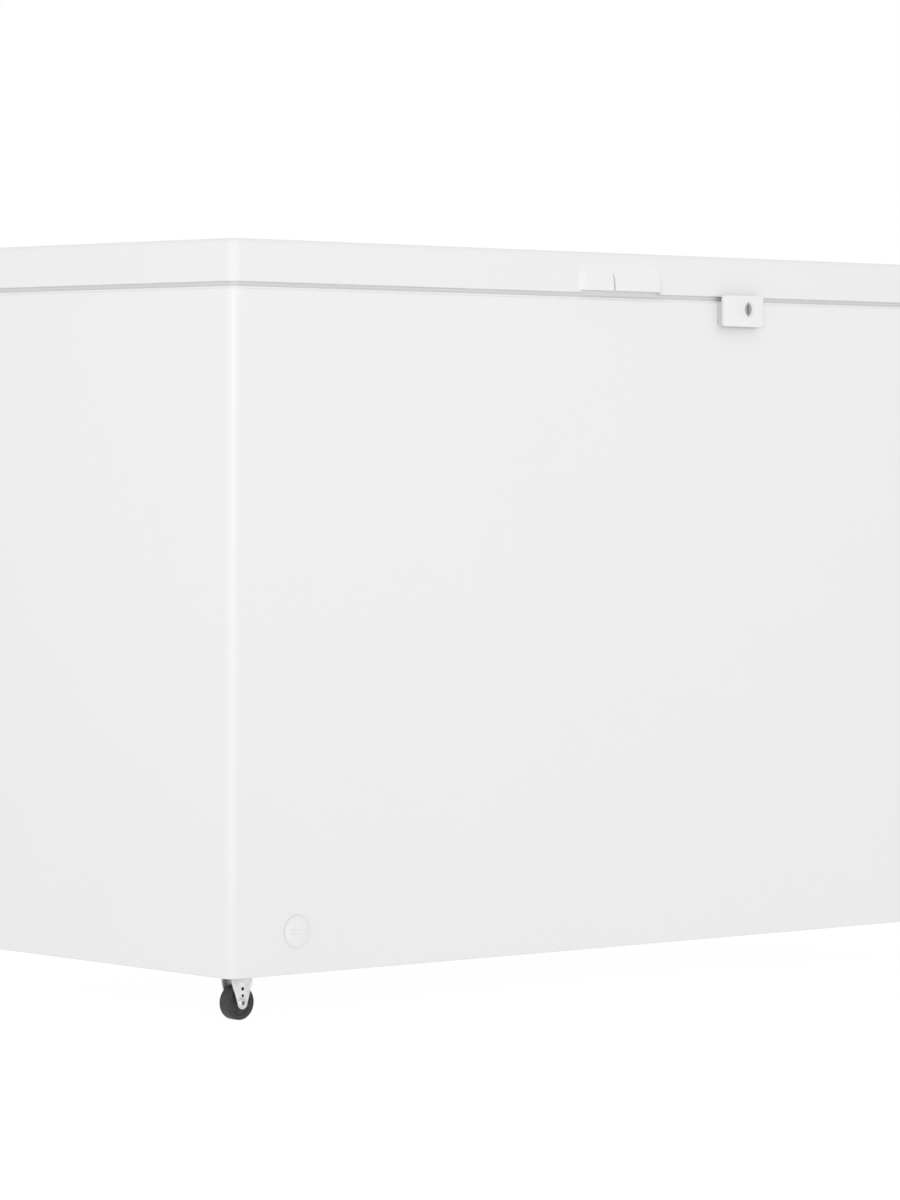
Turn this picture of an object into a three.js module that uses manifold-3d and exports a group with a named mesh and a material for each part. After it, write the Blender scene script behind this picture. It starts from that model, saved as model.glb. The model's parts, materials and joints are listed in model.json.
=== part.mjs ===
// A chest freezer: a foamed steel cabinet on four fixed casters, a foamed lid on two rear spring hinges,
// a lock on the lid's front edge, a defrost drain at the lower left, a compressor bay at the lower right and
// a hanging basket inside.
// Millimetres, +Z up, front towards -Y. The origin is on the floor, under the middle of the bounding box.
import * as THREE from "three";
import { mergeVertices } from "three/addons/utils/BufferGeometryUtils.js";
import Module from "manifold-3d";

const wasm = await Module();
wasm.setup();

// Driving dimensions of the cabinet
const WIDTH = 1156;
const DEPTH = 560;
const BASE_Z = 48;
const RIM_Z = 797;
const LID_Z = 804;
const TOP_Z = 851;
const CORNER = 12;
const SHEET = 1.2;
const GAP = 0.3;
const WALL = 62;
const FLOOR_Z = 120;
const LINER_SHEET = 1;
const LINER_CORNER = 26;
const BASE_FLANGE = 16;

// What stands proud of the cabinet: the lock in front and the hinges behind
const FRONT_PROUD = 10.5;
const REAR_PROUD = 18.5;

// Compressor bay at the lower right, and the liner's step over it
const BAY_X = 360;
const BAY_TOP = 300;
const STEP_FOAM = 55;
const GRILLE_Y = 190;
const GRILLE_Z = [85, 285];

// What the bay holds: compressor on its feet, and the thermostat and its lamp at the grille
const COMPRESSOR = [469, 60];
const COMPRESSOR_RADIUS = 75;
const FOOT_Z = 62;
const FOOT_SPACING = [72, 55];
const THERMOSTAT = [-130, 205];
const THERMOSTAT_BACK = 540;
const DISH_RADIUS = 23;
const DISH_DEPTH = 11;
const LAMP = [-130, 150];
const GLAND = [478, 0, 100];
const GLAND_RADIUS = 8;
const BASE_PLATE = 2;

// Lid
const LID_SHEET = 1.5;
const SHOULDER = 9;
const GASKET_INSET = 4;
const GASKET_WIDTH = 14;
const PLUG_DEPTH = 4.4;
const PLUG_INSET = 45;
const PLUG_CORNER = 30;
const PANEL = 2;

// Lid grip and lock, along the front
const GRIP_WIDTH = 140;
const GRIP_PROUD = 5;
const GROOVE_X = -14;
const GROOVE_SIZE = [3, 20];
const NOTCH_WIDTH = 124;
const NOTCH_HEIGHT = 2.9;
const LOCK_X = 190;
const LOCK_SIZE = [66, 36.5];
const LOCK_Z = 769.5;
const LOCK_CORNER = 4;
const LOCK_FACE = 2.2;
const CORE_BORE = 9.3;
const KEY_X = 198;
const KEY_Z = 790;

// Hinges, measured from the cabinet's back
const HINGE_X = 400;
const PIN_RADIUS = 4;
const EYE_RADIUS = 8;
const LEAF = 1.8;
const PIVOT_Z = 800;

// Casters
const WHEEL_RADIUS = 19;
const WHEEL_WIDTH = 15;
const CASTER_INSET = [34, 30];

// Refrigerant tubes
const TUBE = 4;
const TUBE_BEND = 8;
const COIL_Z = 375;
const COIL_PITCH = 160;
const COIL_TURNS = 2;
const JOINT_Z = 325;
const STUB_Z = 240;
const DRIER_Z = 190;
const DRIER = [556, 130];
const HOT_RISER = [548, -40];
const FEED_RISER = [556, 165];
const SUCTION_RISER = [538, 200];
const RISERS = [HOT_RISER, DRIER, FEED_RISER, SUCTION_RISER];

// Drain
const DRAIN_X = -484;
const DRAIN_Z = 95;
const DRAIN_Y = -190;
const DRAIN_RADIUS = 9;
const DRAIN_BEND = 14;
const FLOOR_HOLE = 6.8;
const CAP_PROUD = 6.5;
const CAP_RADIUS = 18;

// Basket
const BASKET_WIDTH = 250;
const BASKET_HALF_Y = 198;
const BASKET_Z = [600, 782];
const BASKET_CORNER = 14;
const BASKET_WALL = 3;
const BASKET_SIDE_GAP = 8;

// Places worked out from the driving dimensions
const HALF_W = WIDTH / 2;
const HALF_D = DEPTH / 2;
const FRONT_Y = -HALF_D;
const PIVOT_Y = HALF_D + GAP + LEAF + 0.4 + EYE_RADIUS;
const INNER_W = HALF_W - WALL;
const INNER_D = HALF_D - WALL;
const STEP_X = BAY_X - STEP_FOAM;
const STEP_Z = BAY_TOP + STEP_FOAM;
const SHELL_IN = SHEET + GAP;
const BASE_TOP = BASE_Z + SHELL_IN + BASE_PLATE;
const BORDER_Z = LID_Z + 0.6;
const LOCK_FRONT = FRONT_Y - FRONT_PROUD;

const steel = (color) => new THREE.MeshStandardMaterial({ color, roughness: 0.35, metalness: 0.2 });
const zinc = () => new THREE.MeshStandardMaterial({ color: 0xb4b6b8, roughness: 0.45, metalness: 0.9 });
const copper = () => new THREE.MeshStandardMaterial({ color: 0xb87350, roughness: 0.35, metalness: 1 });
const plastic = (color) => new THREE.MeshStandardMaterial({ color, roughness: 0.5, metalness: 0 });
const rubber = (color) => new THREE.MeshStandardMaterial({ color, roughness: 0.85, metalness: 0 });
const WHITE = 0xf2f2f1;
const BLACK = 0x1d1d1f;
const FOAM = 0xe6cf8f;

const point = (x, y, z) => new THREE.Vector3(x, y, z);

// ---- solids -------------------------------------------------------------------------------------------

function solidOf(geometry) {
  const bare = geometry.index ? geometry.toNonIndexed() : geometry.clone();
  bare.deleteAttribute("normal");
  bare.deleteAttribute("uv");
  const merged = mergeVertices(bare, 1e-4);
  return new wasm.Manifold(
    new wasm.Mesh({
      numProp: 3,
      vertProperties: merged.attributes.position.array,
      triVerts: new Uint32Array(merged.index.array),
    }),
  );
}

function geometryOf(solid) {
  const mesh = solid.getMesh();
  const geometry = new THREE.BufferGeometry();
  geometry.setAttribute("position", new THREE.BufferAttribute(mesh.vertProperties, 3));
  geometry.setIndex(new THREE.BufferAttribute(mesh.triVerts, 1));
  const faceted = geometry.toNonIndexed();
  faceted.computeVertexNormals();
  return faceted;
}

function join(...geometries) {
  return geometryOf(geometries.map(solidOf).reduce((whole, piece) => whole.add(piece)));
}

function cut(body, ...tools) {
  return geometryOf(tools.map(solidOf).reduce((whole, tool) => whole.subtract(tool), solidOf(body)));
}

function common(body, other) {
  return geometryOf(solidOf(body).intersect(solidOf(other)));
}

function block(x0, x1, y0, y1, z0, z1) {
  return new THREE.BoxGeometry(x1 - x0, y1 - y0, z1 - z0)
    .translate((x0 + x1) / 2, (y0 + y1) / 2, (z0 + z1) / 2);
}

function roundedRectangle(halfX, halfY, radius) {
  const shape = new THREE.Shape();
  shape.absarc(halfX - radius, halfY - radius, radius, 0, Math.PI / 2);
  shape.absarc(radius - halfX, halfY - radius, radius, Math.PI / 2, Math.PI);
  shape.absarc(radius - halfX, radius - halfY, radius, Math.PI, 1.5 * Math.PI);
  shape.absarc(halfX - radius, radius - halfY, radius, 1.5 * Math.PI, 2 * Math.PI);
  return shape;
}

function outline(corners) {
  return new THREE.Shape(corners.map(([u, v]) => new THREE.Vector2(u, v)));
}

// A shape drawn in X and Y, extruded up from z0 to z1.
function prism(shape, z0, z1, curveSegments = 4) {
  return new THREE.ExtrudeGeometry(shape, { depth: z1 - z0, bevelEnabled: false, curveSegments })
    .translate(0, 0, z0);
}

// A shape drawn in Y and Z, extruded along X.
function prismX(shape, x0, x1, curveSegments = 6) {
  const basis = new THREE.Matrix4().makeBasis(point(0, 1, 0), point(0, 0, 1), point(1, 0, 0));
  return prism(shape, x0, x1, curveSegments).applyMatrix4(basis);
}

// A shape drawn in X and Z, extruded along Y.
function prismY(shape, y0, y1, curveSegments = 6) {
  const basis = new THREE.Matrix4().makeBasis(point(1, 0, 0), point(0, 0, 1), point(0, -1, 0));
  return prism(shape, -y1, -y0, curveSegments).applyMatrix4(basis);
}

function bar(halfX, halfY, radius, z0, z1) {
  return prism(roundedRectangle(halfX, halfY, radius), z0, z1);
}

// A profile of [radius, height] pairs turned about the Y axis.
function turnedY(profile, segments = 24) {
  return new THREE.LatheGeometry(profile.map(([r, h]) => new THREE.Vector2(r, h)), segments);
}

function turnedZ(profile, segments = 24) {
  return turnedY(profile, segments).rotateX(Math.PI / 2);
}

function turnedX(profile, segments = 24) {
  return turnedY(profile, segments).rotateZ(-Math.PI / 2);
}

// A round bar's profile, from one end face to the other.
function rod(radius, start, end) {
  return [[0, start], [radius, start], [radius, end], [0, end]];
}

// A route of straight stretches between given points, sampled at exactly those points.
class Route extends THREE.Curve {
  constructor(points) {
    super();
    this.points = points;
  }

  getPoint(t, target = new THREE.Vector3()) {
    const place = t * (this.points.length - 1);
    const first = Math.min(Math.floor(place + 1e-9), this.points.length - 2);
    return target.lerpVectors(this.points[first], this.points[first + 1], place - first);
  }

  getPointAt(t, target) {
    return this.getPoint(t, target);
  }

  getTangentAt(t, target = new THREE.Vector3()) {
    const index = Math.round(t * (this.points.length - 1));
    const before = this.points[Math.max(index - 1, 0)];
    const here = this.points[index];
    const after = this.points[Math.min(index + 1, this.points.length - 1)];
    const arriving = here.clone().sub(before).normalize();
    const leaving = after.clone().sub(here).normalize();
    return target.addVectors(arriving, leaving).normalize();
  }
}

// The corners of a bent tube, each replaced by an arc.
function bent(corners, radius = TUBE_BEND, segments = 2) {
  const route = [corners[0]];
  for (let i = 1; i < corners.length - 1; i += 1) {
    const arriving = corners[i].clone().sub(corners[i - 1]).normalize();
    const leaving = corners[i + 1].clone().sub(corners[i]).normalize();
    const turn = arriving.angleTo(leaving);
    const start = corners[i].clone().addScaledVector(arriving, -radius * Math.tan(turn / 2));
    const axis = arriving.clone().cross(leaving).normalize();
    const centre = start.clone().addScaledVector(axis.clone().cross(arriving), radius);
    for (let step = 0; step <= segments; step += 1) {
      const spoke = start.clone().sub(centre).applyAxisAngle(axis, (turn * step) / segments);
      route.push(centre.clone().add(spoke));
    }
  }
  route.push(corners.at(-1));
  return route;
}

function tube(points, radius, sides = 6) {
  const section = [];
  for (let i = 0; i < sides; i += 1) {
    const angle = (2 * Math.PI * i) / sides;
    section.push([radius * Math.cos(angle), radius * Math.sin(angle)]);
  }
  return new THREE.ExtrudeGeometry(outline(section), {
    steps: points.length - 1,
    extrudePath: new Route(points),
  });
}

// The clearance bore for a tube of the given radius and number of sides.
function channel(points, radius, sides = 6) {
  return tube(points, (radius + GAP) / Math.cos(Math.PI / sides), sides);
}

// ---- assembly -----------------------------------------------------------------------------------------

const freezer = new THREE.Group();
freezer.position.y = (FRONT_PROUD - REAR_PROUD) / 2;

function add(name, geometry, material) {
  const mesh = new THREE.Mesh(geometry, material);
  mesh.name = name;
  freezer.add(mesh);
  return mesh;
}

// ---- cabinet ------------------------------------------------------------------------------------------

function outerShell() {
  const skin = bar(HALF_W, HALF_D, CORNER, BASE_Z, RIM_Z);
  const inside = bar(HALF_W - SHEET, HALF_D - SHEET, CORNER - SHEET, BASE_Z + SHEET, RIM_Z + 1);
  const underside = bar(HALF_W - BASE_FLANGE, HALF_D - BASE_FLANGE, 4, BASE_Z - 1, BASE_Z + 5);
  const grille = block(HALF_W - 5, HALF_W + 5, -GRILLE_Y, GRILLE_Y, ...GRILLE_Z);
  const drain = turnedY(rod(DRAIN_RADIUS + GAP, FRONT_Y - 5, FRONT_Y + 5), 16)
    .translate(DRAIN_X, 0, DRAIN_Z);
  const gland = turnedY(rod(GLAND_RADIUS + GAP, HALF_D - 5, HALF_D + 5), 16).translate(...GLAND);
  return cut(skin, inside, underside, grille, drain, gland);
}

function cordGland() {
  const profile = [
    [4, HALF_D - 8], [7, HALF_D - 8], [7, HALF_D - 4], [GLAND_RADIUS, HALF_D - 3],
    [GLAND_RADIUS, HALF_D + GAP], [12, HALF_D + GAP], [12, HALF_D + 3], [8, HALF_D + 12], [4, HALF_D + 12],
    [4, HALF_D - 8],
  ];
  return turnedY(profile, 16).translate(...GLAND);
}

// The liner's inside: an open box with the step over the compressor bay.
function linerRoom(grow) {
  const corner = LINER_CORNER + grow - LINER_SHEET;
  const room = bar(INNER_W + grow, INNER_D + grow, corner, FLOOR_Z - grow, RIM_Z);
  const step = block(STEP_X + grow, HALF_W, -HALF_D, HALF_D, 0, STEP_Z - grow);
  return cut(room, step);
}

function innerLiner() {
  const rim = block(-HALF_W, HALF_W, -HALF_D, HALF_D, RIM_Z - 3, RIM_Z + 5);
  const drain = turnedZ(rod(FLOOR_HOLE, FLOOR_Z - 5, FLOOR_Z + 5), 16).translate(DRAIN_X, DRAIN_Y, 0);
  return cut(linerRoom(LINER_SHEET), linerRoom(0), rim, drain);
}

function breakerFrame() {
  const plate = bar(HALF_W - SHELL_IN, HALF_D - SHELL_IN, CORNER - SHELL_IN, RIM_Z - 2.7, RIM_Z);
  const lip = bar(INNER_W - GAP, INNER_D - GAP, LINER_CORNER - 1.3, RIM_Z - 18, RIM_Z - 1);
  const opening = bar(INNER_W - 3, INNER_D - 3, LINER_CORNER - 4, RIM_Z - 20, RIM_Z + 1);
  return cut(join(plate, lip), opening);
}

function condenserRoute() {
  const x = HALF_W - SHELL_IN - TUBE;
  const y = HALF_D - SHELL_IN - TUBE;
  const corners = [
    point(...HOT_RISER, JOINT_Z), point(...HOT_RISER, COIL_Z - 25), point(x, HOT_RISER[1], COIL_Z),
  ];
  const sides = [[x, -y], [-x, -y], [-x, y], [x, y]];
  for (let corner = 0; corner < sides.length * COIL_TURNS; corner += 1) {
    const [cornerX, cornerY] = sides[corner % sides.length];
    corners.push(point(cornerX, cornerY, COIL_Z + (COIL_PITCH * (corner + 0.5)) / sides.length));
  }
  const last = COIL_Z + COIL_PITCH * COIL_TURNS;
  corners.push(point(x, DRIER[1], last), point(...DRIER, last), point(...DRIER, JOINT_Z));
  return bent(corners);
}

function evaporatorRoute() {
  const x = INNER_W + LINER_SHEET + GAP + TUBE;
  const y = INNER_D + LINER_SHEET + GAP + TUBE;
  const corners = [
    point(...FEED_RISER, JOINT_Z + 2), point(...FEED_RISER, COIL_Z - 25),
    point(x, FEED_RISER[1], COIL_Z + 10),
  ];
  const sides = [[x, y], [-x, y], [-x, -y], [x, -y]];
  for (let corner = 0; corner < sides.length * COIL_TURNS; corner += 1) {
    const [cornerX, cornerY] = sides[corner % sides.length];
    corners.push(point(cornerX, cornerY, COIL_Z + 12 + (COIL_PITCH * (corner + 0.5)) / sides.length));
  }
  const last = COIL_Z + COIL_PITCH * COIL_TURNS;
  corners.push(
    point(x, SUCTION_RISER[1], last), point(...SUCTION_RISER, last), point(...SUCTION_RISER, JOINT_Z),
  );
  return bent(corners);
}

function drainRoute() {
  return bent([
    point(DRAIN_X, DRAIN_Y, FLOOR_Z - LINER_SHEET - GAP),
    point(DRAIN_X, DRAIN_Y, DRAIN_Z),
    point(DRAIN_X, FRONT_Y + 14, DRAIN_Z),
  ], DRAIN_BEND, 4);
}

function cabinetFoam() {
  const filling = bar(HALF_W - SHELL_IN, HALF_D - SHELL_IN, CORNER - SHELL_IN, BASE_Z + 3, RIM_Z - 3);
  const bay = block(BAY_X - GAP, HALF_W, -HALF_D, HALF_D, 0, BAY_TOP + GAP);
  const liner = linerRoom(LINER_SHEET + GAP);
  const drain = channel(drainRoute(), DRAIN_RADIUS, 12);
  const outlet = turnedY(rod(11.6, FRONT_Y, FRONT_Y + 15), 16).translate(DRAIN_X, 0, DRAIN_Z);
  const neck = block(DRAIN_X - 9, DRAIN_X + 9, DRAIN_Y - 9, DRAIN_Y + 9, FLOOR_Z - 6, FLOOR_Z);
  const condenser = channel(condenserRoute(), TUBE);
  const evaporator = channel(evaporatorRoute(), TUBE);
  const risers = RISERS.map(([x, y]) =>
    turnedZ(rod(TUBE + 1, BAY_TOP - 5, JOINT_Z + 4), 8).translate(x, y, 0));
  return cut(filling, bay, liner, drain, outlet, neck, condenser, evaporator, ...risers);
}

function basePlate(x0, x1, thickness) {
  const whole = bar(HALF_W - SHELL_IN, HALF_D - SHELL_IN, CORNER - SHELL_IN, 0, thickness)
    .translate(0, 0, BASE_Z + SHELL_IN);
  return common(whole, block(x0, x1, -HALF_D, HALF_D, 0, 100));
}

function compressorPlate() {
  const plate = basePlate(BAY_X + GAP, HALF_W, BASE_PLATE);
  const slots = [];
  for (let i = 0; i < 5; i += 1) {
    const y = -210 + 26 * i;
    slots.push(block(BAY_X + 40, HALF_W - 60, y, y + 10, 0, 100));
  }
  return cut(plate, ...slots);
}

function bulkhead() {
  const low = BASE_TOP + GAP;
  const side = HALF_W - SHELL_IN;
  const profile = outline([
    [BAY_X, low], [BAY_X + SHEET, low], [BAY_X + SHEET, BAY_TOP - SHEET], [side, BAY_TOP - SHEET],
    [side, BAY_TOP], [BAY_X, BAY_TOP],
  ]);
  const sheet = prismY(profile, SHELL_IN - HALF_D, HALF_D - SHELL_IN);
  const room = bar(HALF_W - SHELL_IN, HALF_D - SHELL_IN, CORNER - SHELL_IN, 0, BAY_TOP + 5);
  const holes = RISERS.map(([x, y]) =>
    turnedZ(rod(TUBE + 1.5, BAY_TOP - 5, BAY_TOP + 5), 8).translate(x, y, 0));
  return cut(common(sheet, room), ...holes);
}

// ---- compressor bay -----------------------------------------------------------------------------------

function footPlaces() {
  const [dx, dy] = FOOT_SPACING;
  const corners = [[-dx, -dy], [dx, -dy], [dx, dy], [-dx, dy]];
  return corners.map(([x, y]) => [COMPRESSOR[0] + x, COMPRESSOR[1] + y]);
}

function compressor() {
  const seam = COMPRESSOR_RADIUS + 2;
  const profile = [
    [0, 66], [50, 70], [COMPRESSOR_RADIUS, 92], [COMPRESSOR_RADIUS, 132], [seam, 133], [seam, 138],
    [COMPRESSOR_RADIUS, 139], [COMPRESSOR_RADIUS, 178], [66, 206], [46, 222], [0, 228],
  ];
  const pot = turnedZ(profile, 20).translate(...COMPRESSOR, 0);
  const feet = bar(88, 70, 12, FOOT_Z, FOOT_Z + 2.5).translate(...COMPRESSOR, 0);
  const pedestal = turnedZ(rod(48, FOOT_Z, 80), 12).translate(...COMPRESSOR, 0);
  const stubs = [[-45, 0], [0, 45]].map(([x, y]) =>
    turnedZ(rod(5, 200, STUB_Z), 10).translate(COMPRESSOR[0] + x, COMPRESSOR[1] + y, 0));
  const holes = footPlaces().map(([x, y]) =>
    turnedZ(rod(7, FOOT_Z - 5, FOOT_Z + 5), 12).translate(x, y, 0));
  return cut(join(pot, feet, pedestal, ...stubs), ...holes);
}

function grommet([x, y]) {
  const low = BASE_TOP + GAP;
  const profile = [
    [0, low], [12, low], [12, FOOT_Z - GAP], [6.7, FOOT_Z - GAP], [6.7, FOOT_Z + 2.8],
    [9.5, FOOT_Z + 2.8], [8, FOOT_Z + 8], [0, FOOT_Z + 8],
  ];
  return turnedZ(profile, 12).translate(x, y, 0);
}

function relayCover() {
  const front = COMPRESSOR[1] - COMPRESSOR_RADIUS - 2.5;
  return block(COMPRESSOR[0] - 26, COMPRESSOR[0] + 26, front - 28, front, 108, 170);
}

function dischargeLine() {
  const [x, y] = [COMPRESSOR[0] - 45, COMPRESSOR[1]];
  return tube(bent([
    point(x, y, STUB_Z + GAP), point(x, y, 262), point(x, HOT_RISER[1], 262), point(...HOT_RISER, 262),
    point(...HOT_RISER, JOINT_Z - GAP),
  ]), TUBE, 8);
}

function suctionLine() {
  const [x, y] = [COMPRESSOR[0], COMPRESSOR[1] + 45];
  return tube(bent([
    point(x, y, STUB_Z + GAP), point(x, y, 275), point(x, SUCTION_RISER[1], 275),
    point(...SUCTION_RISER, 275),
    point(...SUCTION_RISER, JOINT_Z - GAP),
  ]), TUBE, 8);
}

function filterDrier() {
  const profile = [
    [0, DRIER_Z], [3, DRIER_Z], [3, DRIER_Z + 8], [10, DRIER_Z + 16], [10, DRIER_Z + 80],
    [TUBE, DRIER_Z + 90], [TUBE, JOINT_Z - GAP], [0, JOINT_Z - GAP],
  ];
  return turnedZ(profile, 16).translate(...DRIER, 0);
}

function capillaryTube() {
  const low = DRIER_Z - 25;
  return tube(bent([
    point(...DRIER, DRIER_Z - GAP), point(...DRIER, low), point(...FEED_RISER, low),
    point(...FEED_RISER, JOINT_Z + 2 - GAP),
  ]), 1.5, 6);
}

function controlWiring() {
  const [x] = COMPRESSOR;
  const y = COMPRESSOR[1] - COMPRESSOR_RADIUS - 16;
  const turn = THERMOSTAT_BACK - 32;
  return tube(bent([
    point(THERMOSTAT_BACK - GAP, THERMOSTAT[0], 200), point(turn, THERMOSTAT[0], 200), point(turn, y, 200),
    point(x, y, 200), point(x, y, 170 + GAP),
  ]), 3, 8);
}

// The grille fills the opening in the right wall: louvre slots, and a dish for the thermostat's knob.
function sideGrille() {
  const [low, high] = GRILLE_Z;
  const face = block(HALF_W - 4, HALF_W, GAP - GRILLE_Y, GRILLE_Y - GAP, low + GAP, high - GAP);
  const flange = block(HALF_W - 4, HALF_W - SHELL_IN, -GRILLE_Y - 8, GRILLE_Y + 8, low - 8, high + 8);
  const dish = turnedX(rod(DISH_RADIUS + 2, HALF_W - DISH_DEPTH - 2, HALF_W), 24)
    .translate(0, ...THERMOSTAT);
  const bowl = turnedX(rod(DISH_RADIUS, HALF_W - DISH_DEPTH, HALF_W + 5), 24)
    .translate(0, ...THERMOSTAT);
  const shaft = turnedX(rod(4, HALF_W - 30, HALF_W), 12).translate(0, ...THERMOSTAT);
  const lamp = turnedX(rod(5.3, HALF_W - 30, HALF_W + 5), 12).translate(0, ...LAMP);
  const back = block(HALF_W - 10, HALF_W - 2.5, 3 - GRILLE_Y, GRILLE_Y - 3, low + 3, high - 3);
  const slots = [];
  for (let z = low + 18; z < high - 18; z += 16) {
    slots.push(block(HALF_W - 10, HALF_W + 5, -70, GRILLE_Y - 20, z, z + 8));
  }
  const panel = cut(join(face, flange), back);
  return cut(join(panel, dish), bowl, shaft, lamp, ...slots);
}

function thermostatBody() {
  const [y, z] = THERMOSTAT;
  const box = block(THERMOSTAT_BACK, HALF_W - DISH_DEPTH - 2 - GAP, y - 18, y + 18, z - 18, z + 18);
  const shaft = turnedX(rod(3, THERMOSTAT_BACK + 5, HALF_W - 7), 12).translate(0, y, z);
  return join(box, shaft);
}

function thermostatKnob() {
  const back = HALF_W - DISH_DEPTH + 1;
  const disc = turnedX([
    [0, back], [20, back], [20, back + 3.5], [18.5, back + 5], [0, back + 5],
  ], 24);
  const grip = prismX(roundedRectangle(5, 17, 4), back + 4, HALF_W, 4);
  const socket = turnedX(rod(3.3, back - 5, HALF_W - 6), 12);
  return cut(join(disc, grip), socket).translate(0, ...THERMOSTAT);
}

function powerLamp() {
  const profile = [
    [0, HALF_W - 16], [4, HALF_W - 16], [4, HALF_W - 3], [5, HALF_W - 3], [5, HALF_W - 1], [3, HALF_W],
    [0, HALF_W],
  ];
  return turnedX(profile, 12).translate(0, ...LAMP);
}

// ---- drain --------------------------------------------------------------------------------------------

function drainTube() {
  return cut(tube(drainRoute(), DRAIN_RADIUS, 12), tube(drainBore(), DRAIN_RADIUS - 2.5, 12));
}

function drainBore() {
  const route = drainRoute();
  route[0] = route[0].clone().add(point(0, 0, 1));
  route[route.length - 1] = route.at(-1).clone().add(point(0, -1, 0));
  return route;
}

function drainOutlet() {
  const profile = [
    [6.5, FRONT_Y + 13.7], [11, FRONT_Y + 13.7], [11, FRONT_Y + 4], [DRAIN_RADIUS, FRONT_Y + 3],
    [DRAIN_RADIUS, FRONT_Y - GAP], [17, FRONT_Y - GAP], [17, FRONT_Y - 1.4], [DRAIN_RADIUS, FRONT_Y - 1.6],
    [DRAIN_RADIUS, FRONT_Y - 4.6], [6.5, FRONT_Y - 4.6], [6.5, FRONT_Y + 13.7],
  ];
  return turnedY(profile.reverse(), 20).translate(DRAIN_X, 0, DRAIN_Z);
}

function drainCap() {
  const front = FRONT_Y - CAP_PROUD;
  const face = front + 0.2;
  const back = face + 4.4;
  const disc = turnedY([
    [0, face], [CAP_RADIUS - 2, face], [CAP_RADIUS, face + 2], [CAP_RADIUS, back], [0, back],
  ], 24);
  const socket = turnedY(rod(DRAIN_RADIUS + GAP, face + 1.4, face + 10), 20);
  const grip = block(-14, 14, front, face + 1, -2.5, 2.5);
  return cut(join(disc, grip), socket).translate(DRAIN_X, 0, DRAIN_Z);
}

function drainBung() {
  const profile = [
    [0, FLOOR_Z - 12], [5.5, FLOOR_Z - 12], [6.2, FLOOR_Z + GAP], [13, FLOOR_Z + GAP],
    [13, FLOOR_Z + 3], [5, FLOOR_Z + 4], [5, FLOOR_Z + 12], [0, FLOOR_Z + 12],
  ];
  return turnedZ(profile, 20).translate(DRAIN_X, DRAIN_Y, 0);
}

// ---- lid ----------------------------------------------------------------------------------------------

// The lid's outside, or the same shape drawn in by some distance, from z0 up to its rounded shoulder.
function lidForm(inset, z0) {
  const radius = SHOULDER - inset / 2;
  const shape = roundedRectangle(HALF_W - inset - radius, HALF_D - inset - radius, CORNER - inset - radius);
  const geometry = new THREE.ExtrudeGeometry(shape, {
    depth: TOP_Z - inset - z0,
    bevelThickness: radius,
    bevelSize: radius,
    bevelSegments: 3,
    curveSegments: 4,
  }).translate(0, 0, z0 - radius);
  return cut(geometry, block(-HALF_W, HALF_W, -HALF_D, HALF_D, z0 - 50, z0));
}

// The notch in the lid's lower edge behind the grip.
function fingerNotch(reach) {
  const half = NOTCH_WIDTH / 2;
  return block(-half, half, FRONT_Y - 5, FRONT_Y + reach, LID_Z - 5, LID_Z + NOTCH_HEIGHT);
}

function lidOuter() {
  return cut(lidForm(0, LID_Z), lidForm(LID_SHEET, LID_Z - 5), fingerNotch(5));
}

// The shallow raised middle of the lid's inner panel, drawn in by some distance.
function plugBar(inset, z0, z1) {
  const reach = PLUG_INSET + inset;
  return bar(INNER_W - reach, INNER_D - reach, PLUG_CORNER - inset, z0, z1);
}

function lidFoam() {
  const inset = PANEL + GAP;
  const plug = plugBar(inset, LID_Z - PLUG_DEPTH + inset, LID_Z + 5);
  return join(lidForm(LID_SHEET + GAP, BORDER_Z + inset), plug);
}

function lidInner() {
  const inset = LID_SHEET + GAP;
  const plate = bar(HALF_W - inset, HALF_D - inset, CORNER - inset, BORDER_Z, BORDER_Z + PANEL);
  const plug = plugBar(0, LID_Z - PLUG_DEPTH, BORDER_Z + 1);
  const hollow = plugBar(PANEL, LID_Z - PLUG_DEPTH + PANEL, LID_Z + 5);
  return cut(join(plate, plug), hollow, fingerNotch(GASKET_INSET - 1));
}

function gasket() {
  const outer = bar(HALF_W - GASKET_INSET, HALF_D - GASKET_INSET, 8, RIM_Z + GAP, LID_Z + GAP);
  const inset = GASKET_INSET + GASKET_WIDTH;
  return cut(outer, bar(HALF_W - inset, HALF_D - inset, 8, RIM_Z - 5, LID_Z + 5));
}

// The pull lip swells out towards the lid's lower edge, with slanting ends and a hollow for the fingertips.
function lidGrip() {
  const half = GRIP_WIDTH / 2;
  const low = LID_Z + NOTCH_HEIGHT;
  const high = TOP_Z - SHOULDER - 1;
  const profile = outline([
    [FRONT_Y - GAP, low + 7], [FRONT_Y - 2.6, low + 1.5], [FRONT_Y - GRIP_PROUD + 0.8, low],
    [FRONT_Y - GRIP_PROUD, low + 2], [FRONT_Y - 1.5, high], [FRONT_Y - GAP, high],
  ]);
  const lip = prismX(profile, -half, half);
  const slant = 4;
  const ends = [-1, 1].map((side) => prismY(outline([
    [side * (half + 1), low - 5], [side * half, low], [side * (half - slant), high + 1],
    [side * (half + 1), high + 1],
  ]), FRONT_Y - 20, FRONT_Y + 1));
  const [grooveWidth, grooveHeight] = GROOVE_SIZE;
  const groove = block(0, grooveWidth, FRONT_Y - 20, FRONT_Y - 1.2, low - 5, low + grooveHeight)
    .translate(GROOVE_X - grooveWidth / 2, 0, 0);
  return cut(lip, ...ends, groove);
}

// ---- lock ---------------------------------------------------------------------------------------------

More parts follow.
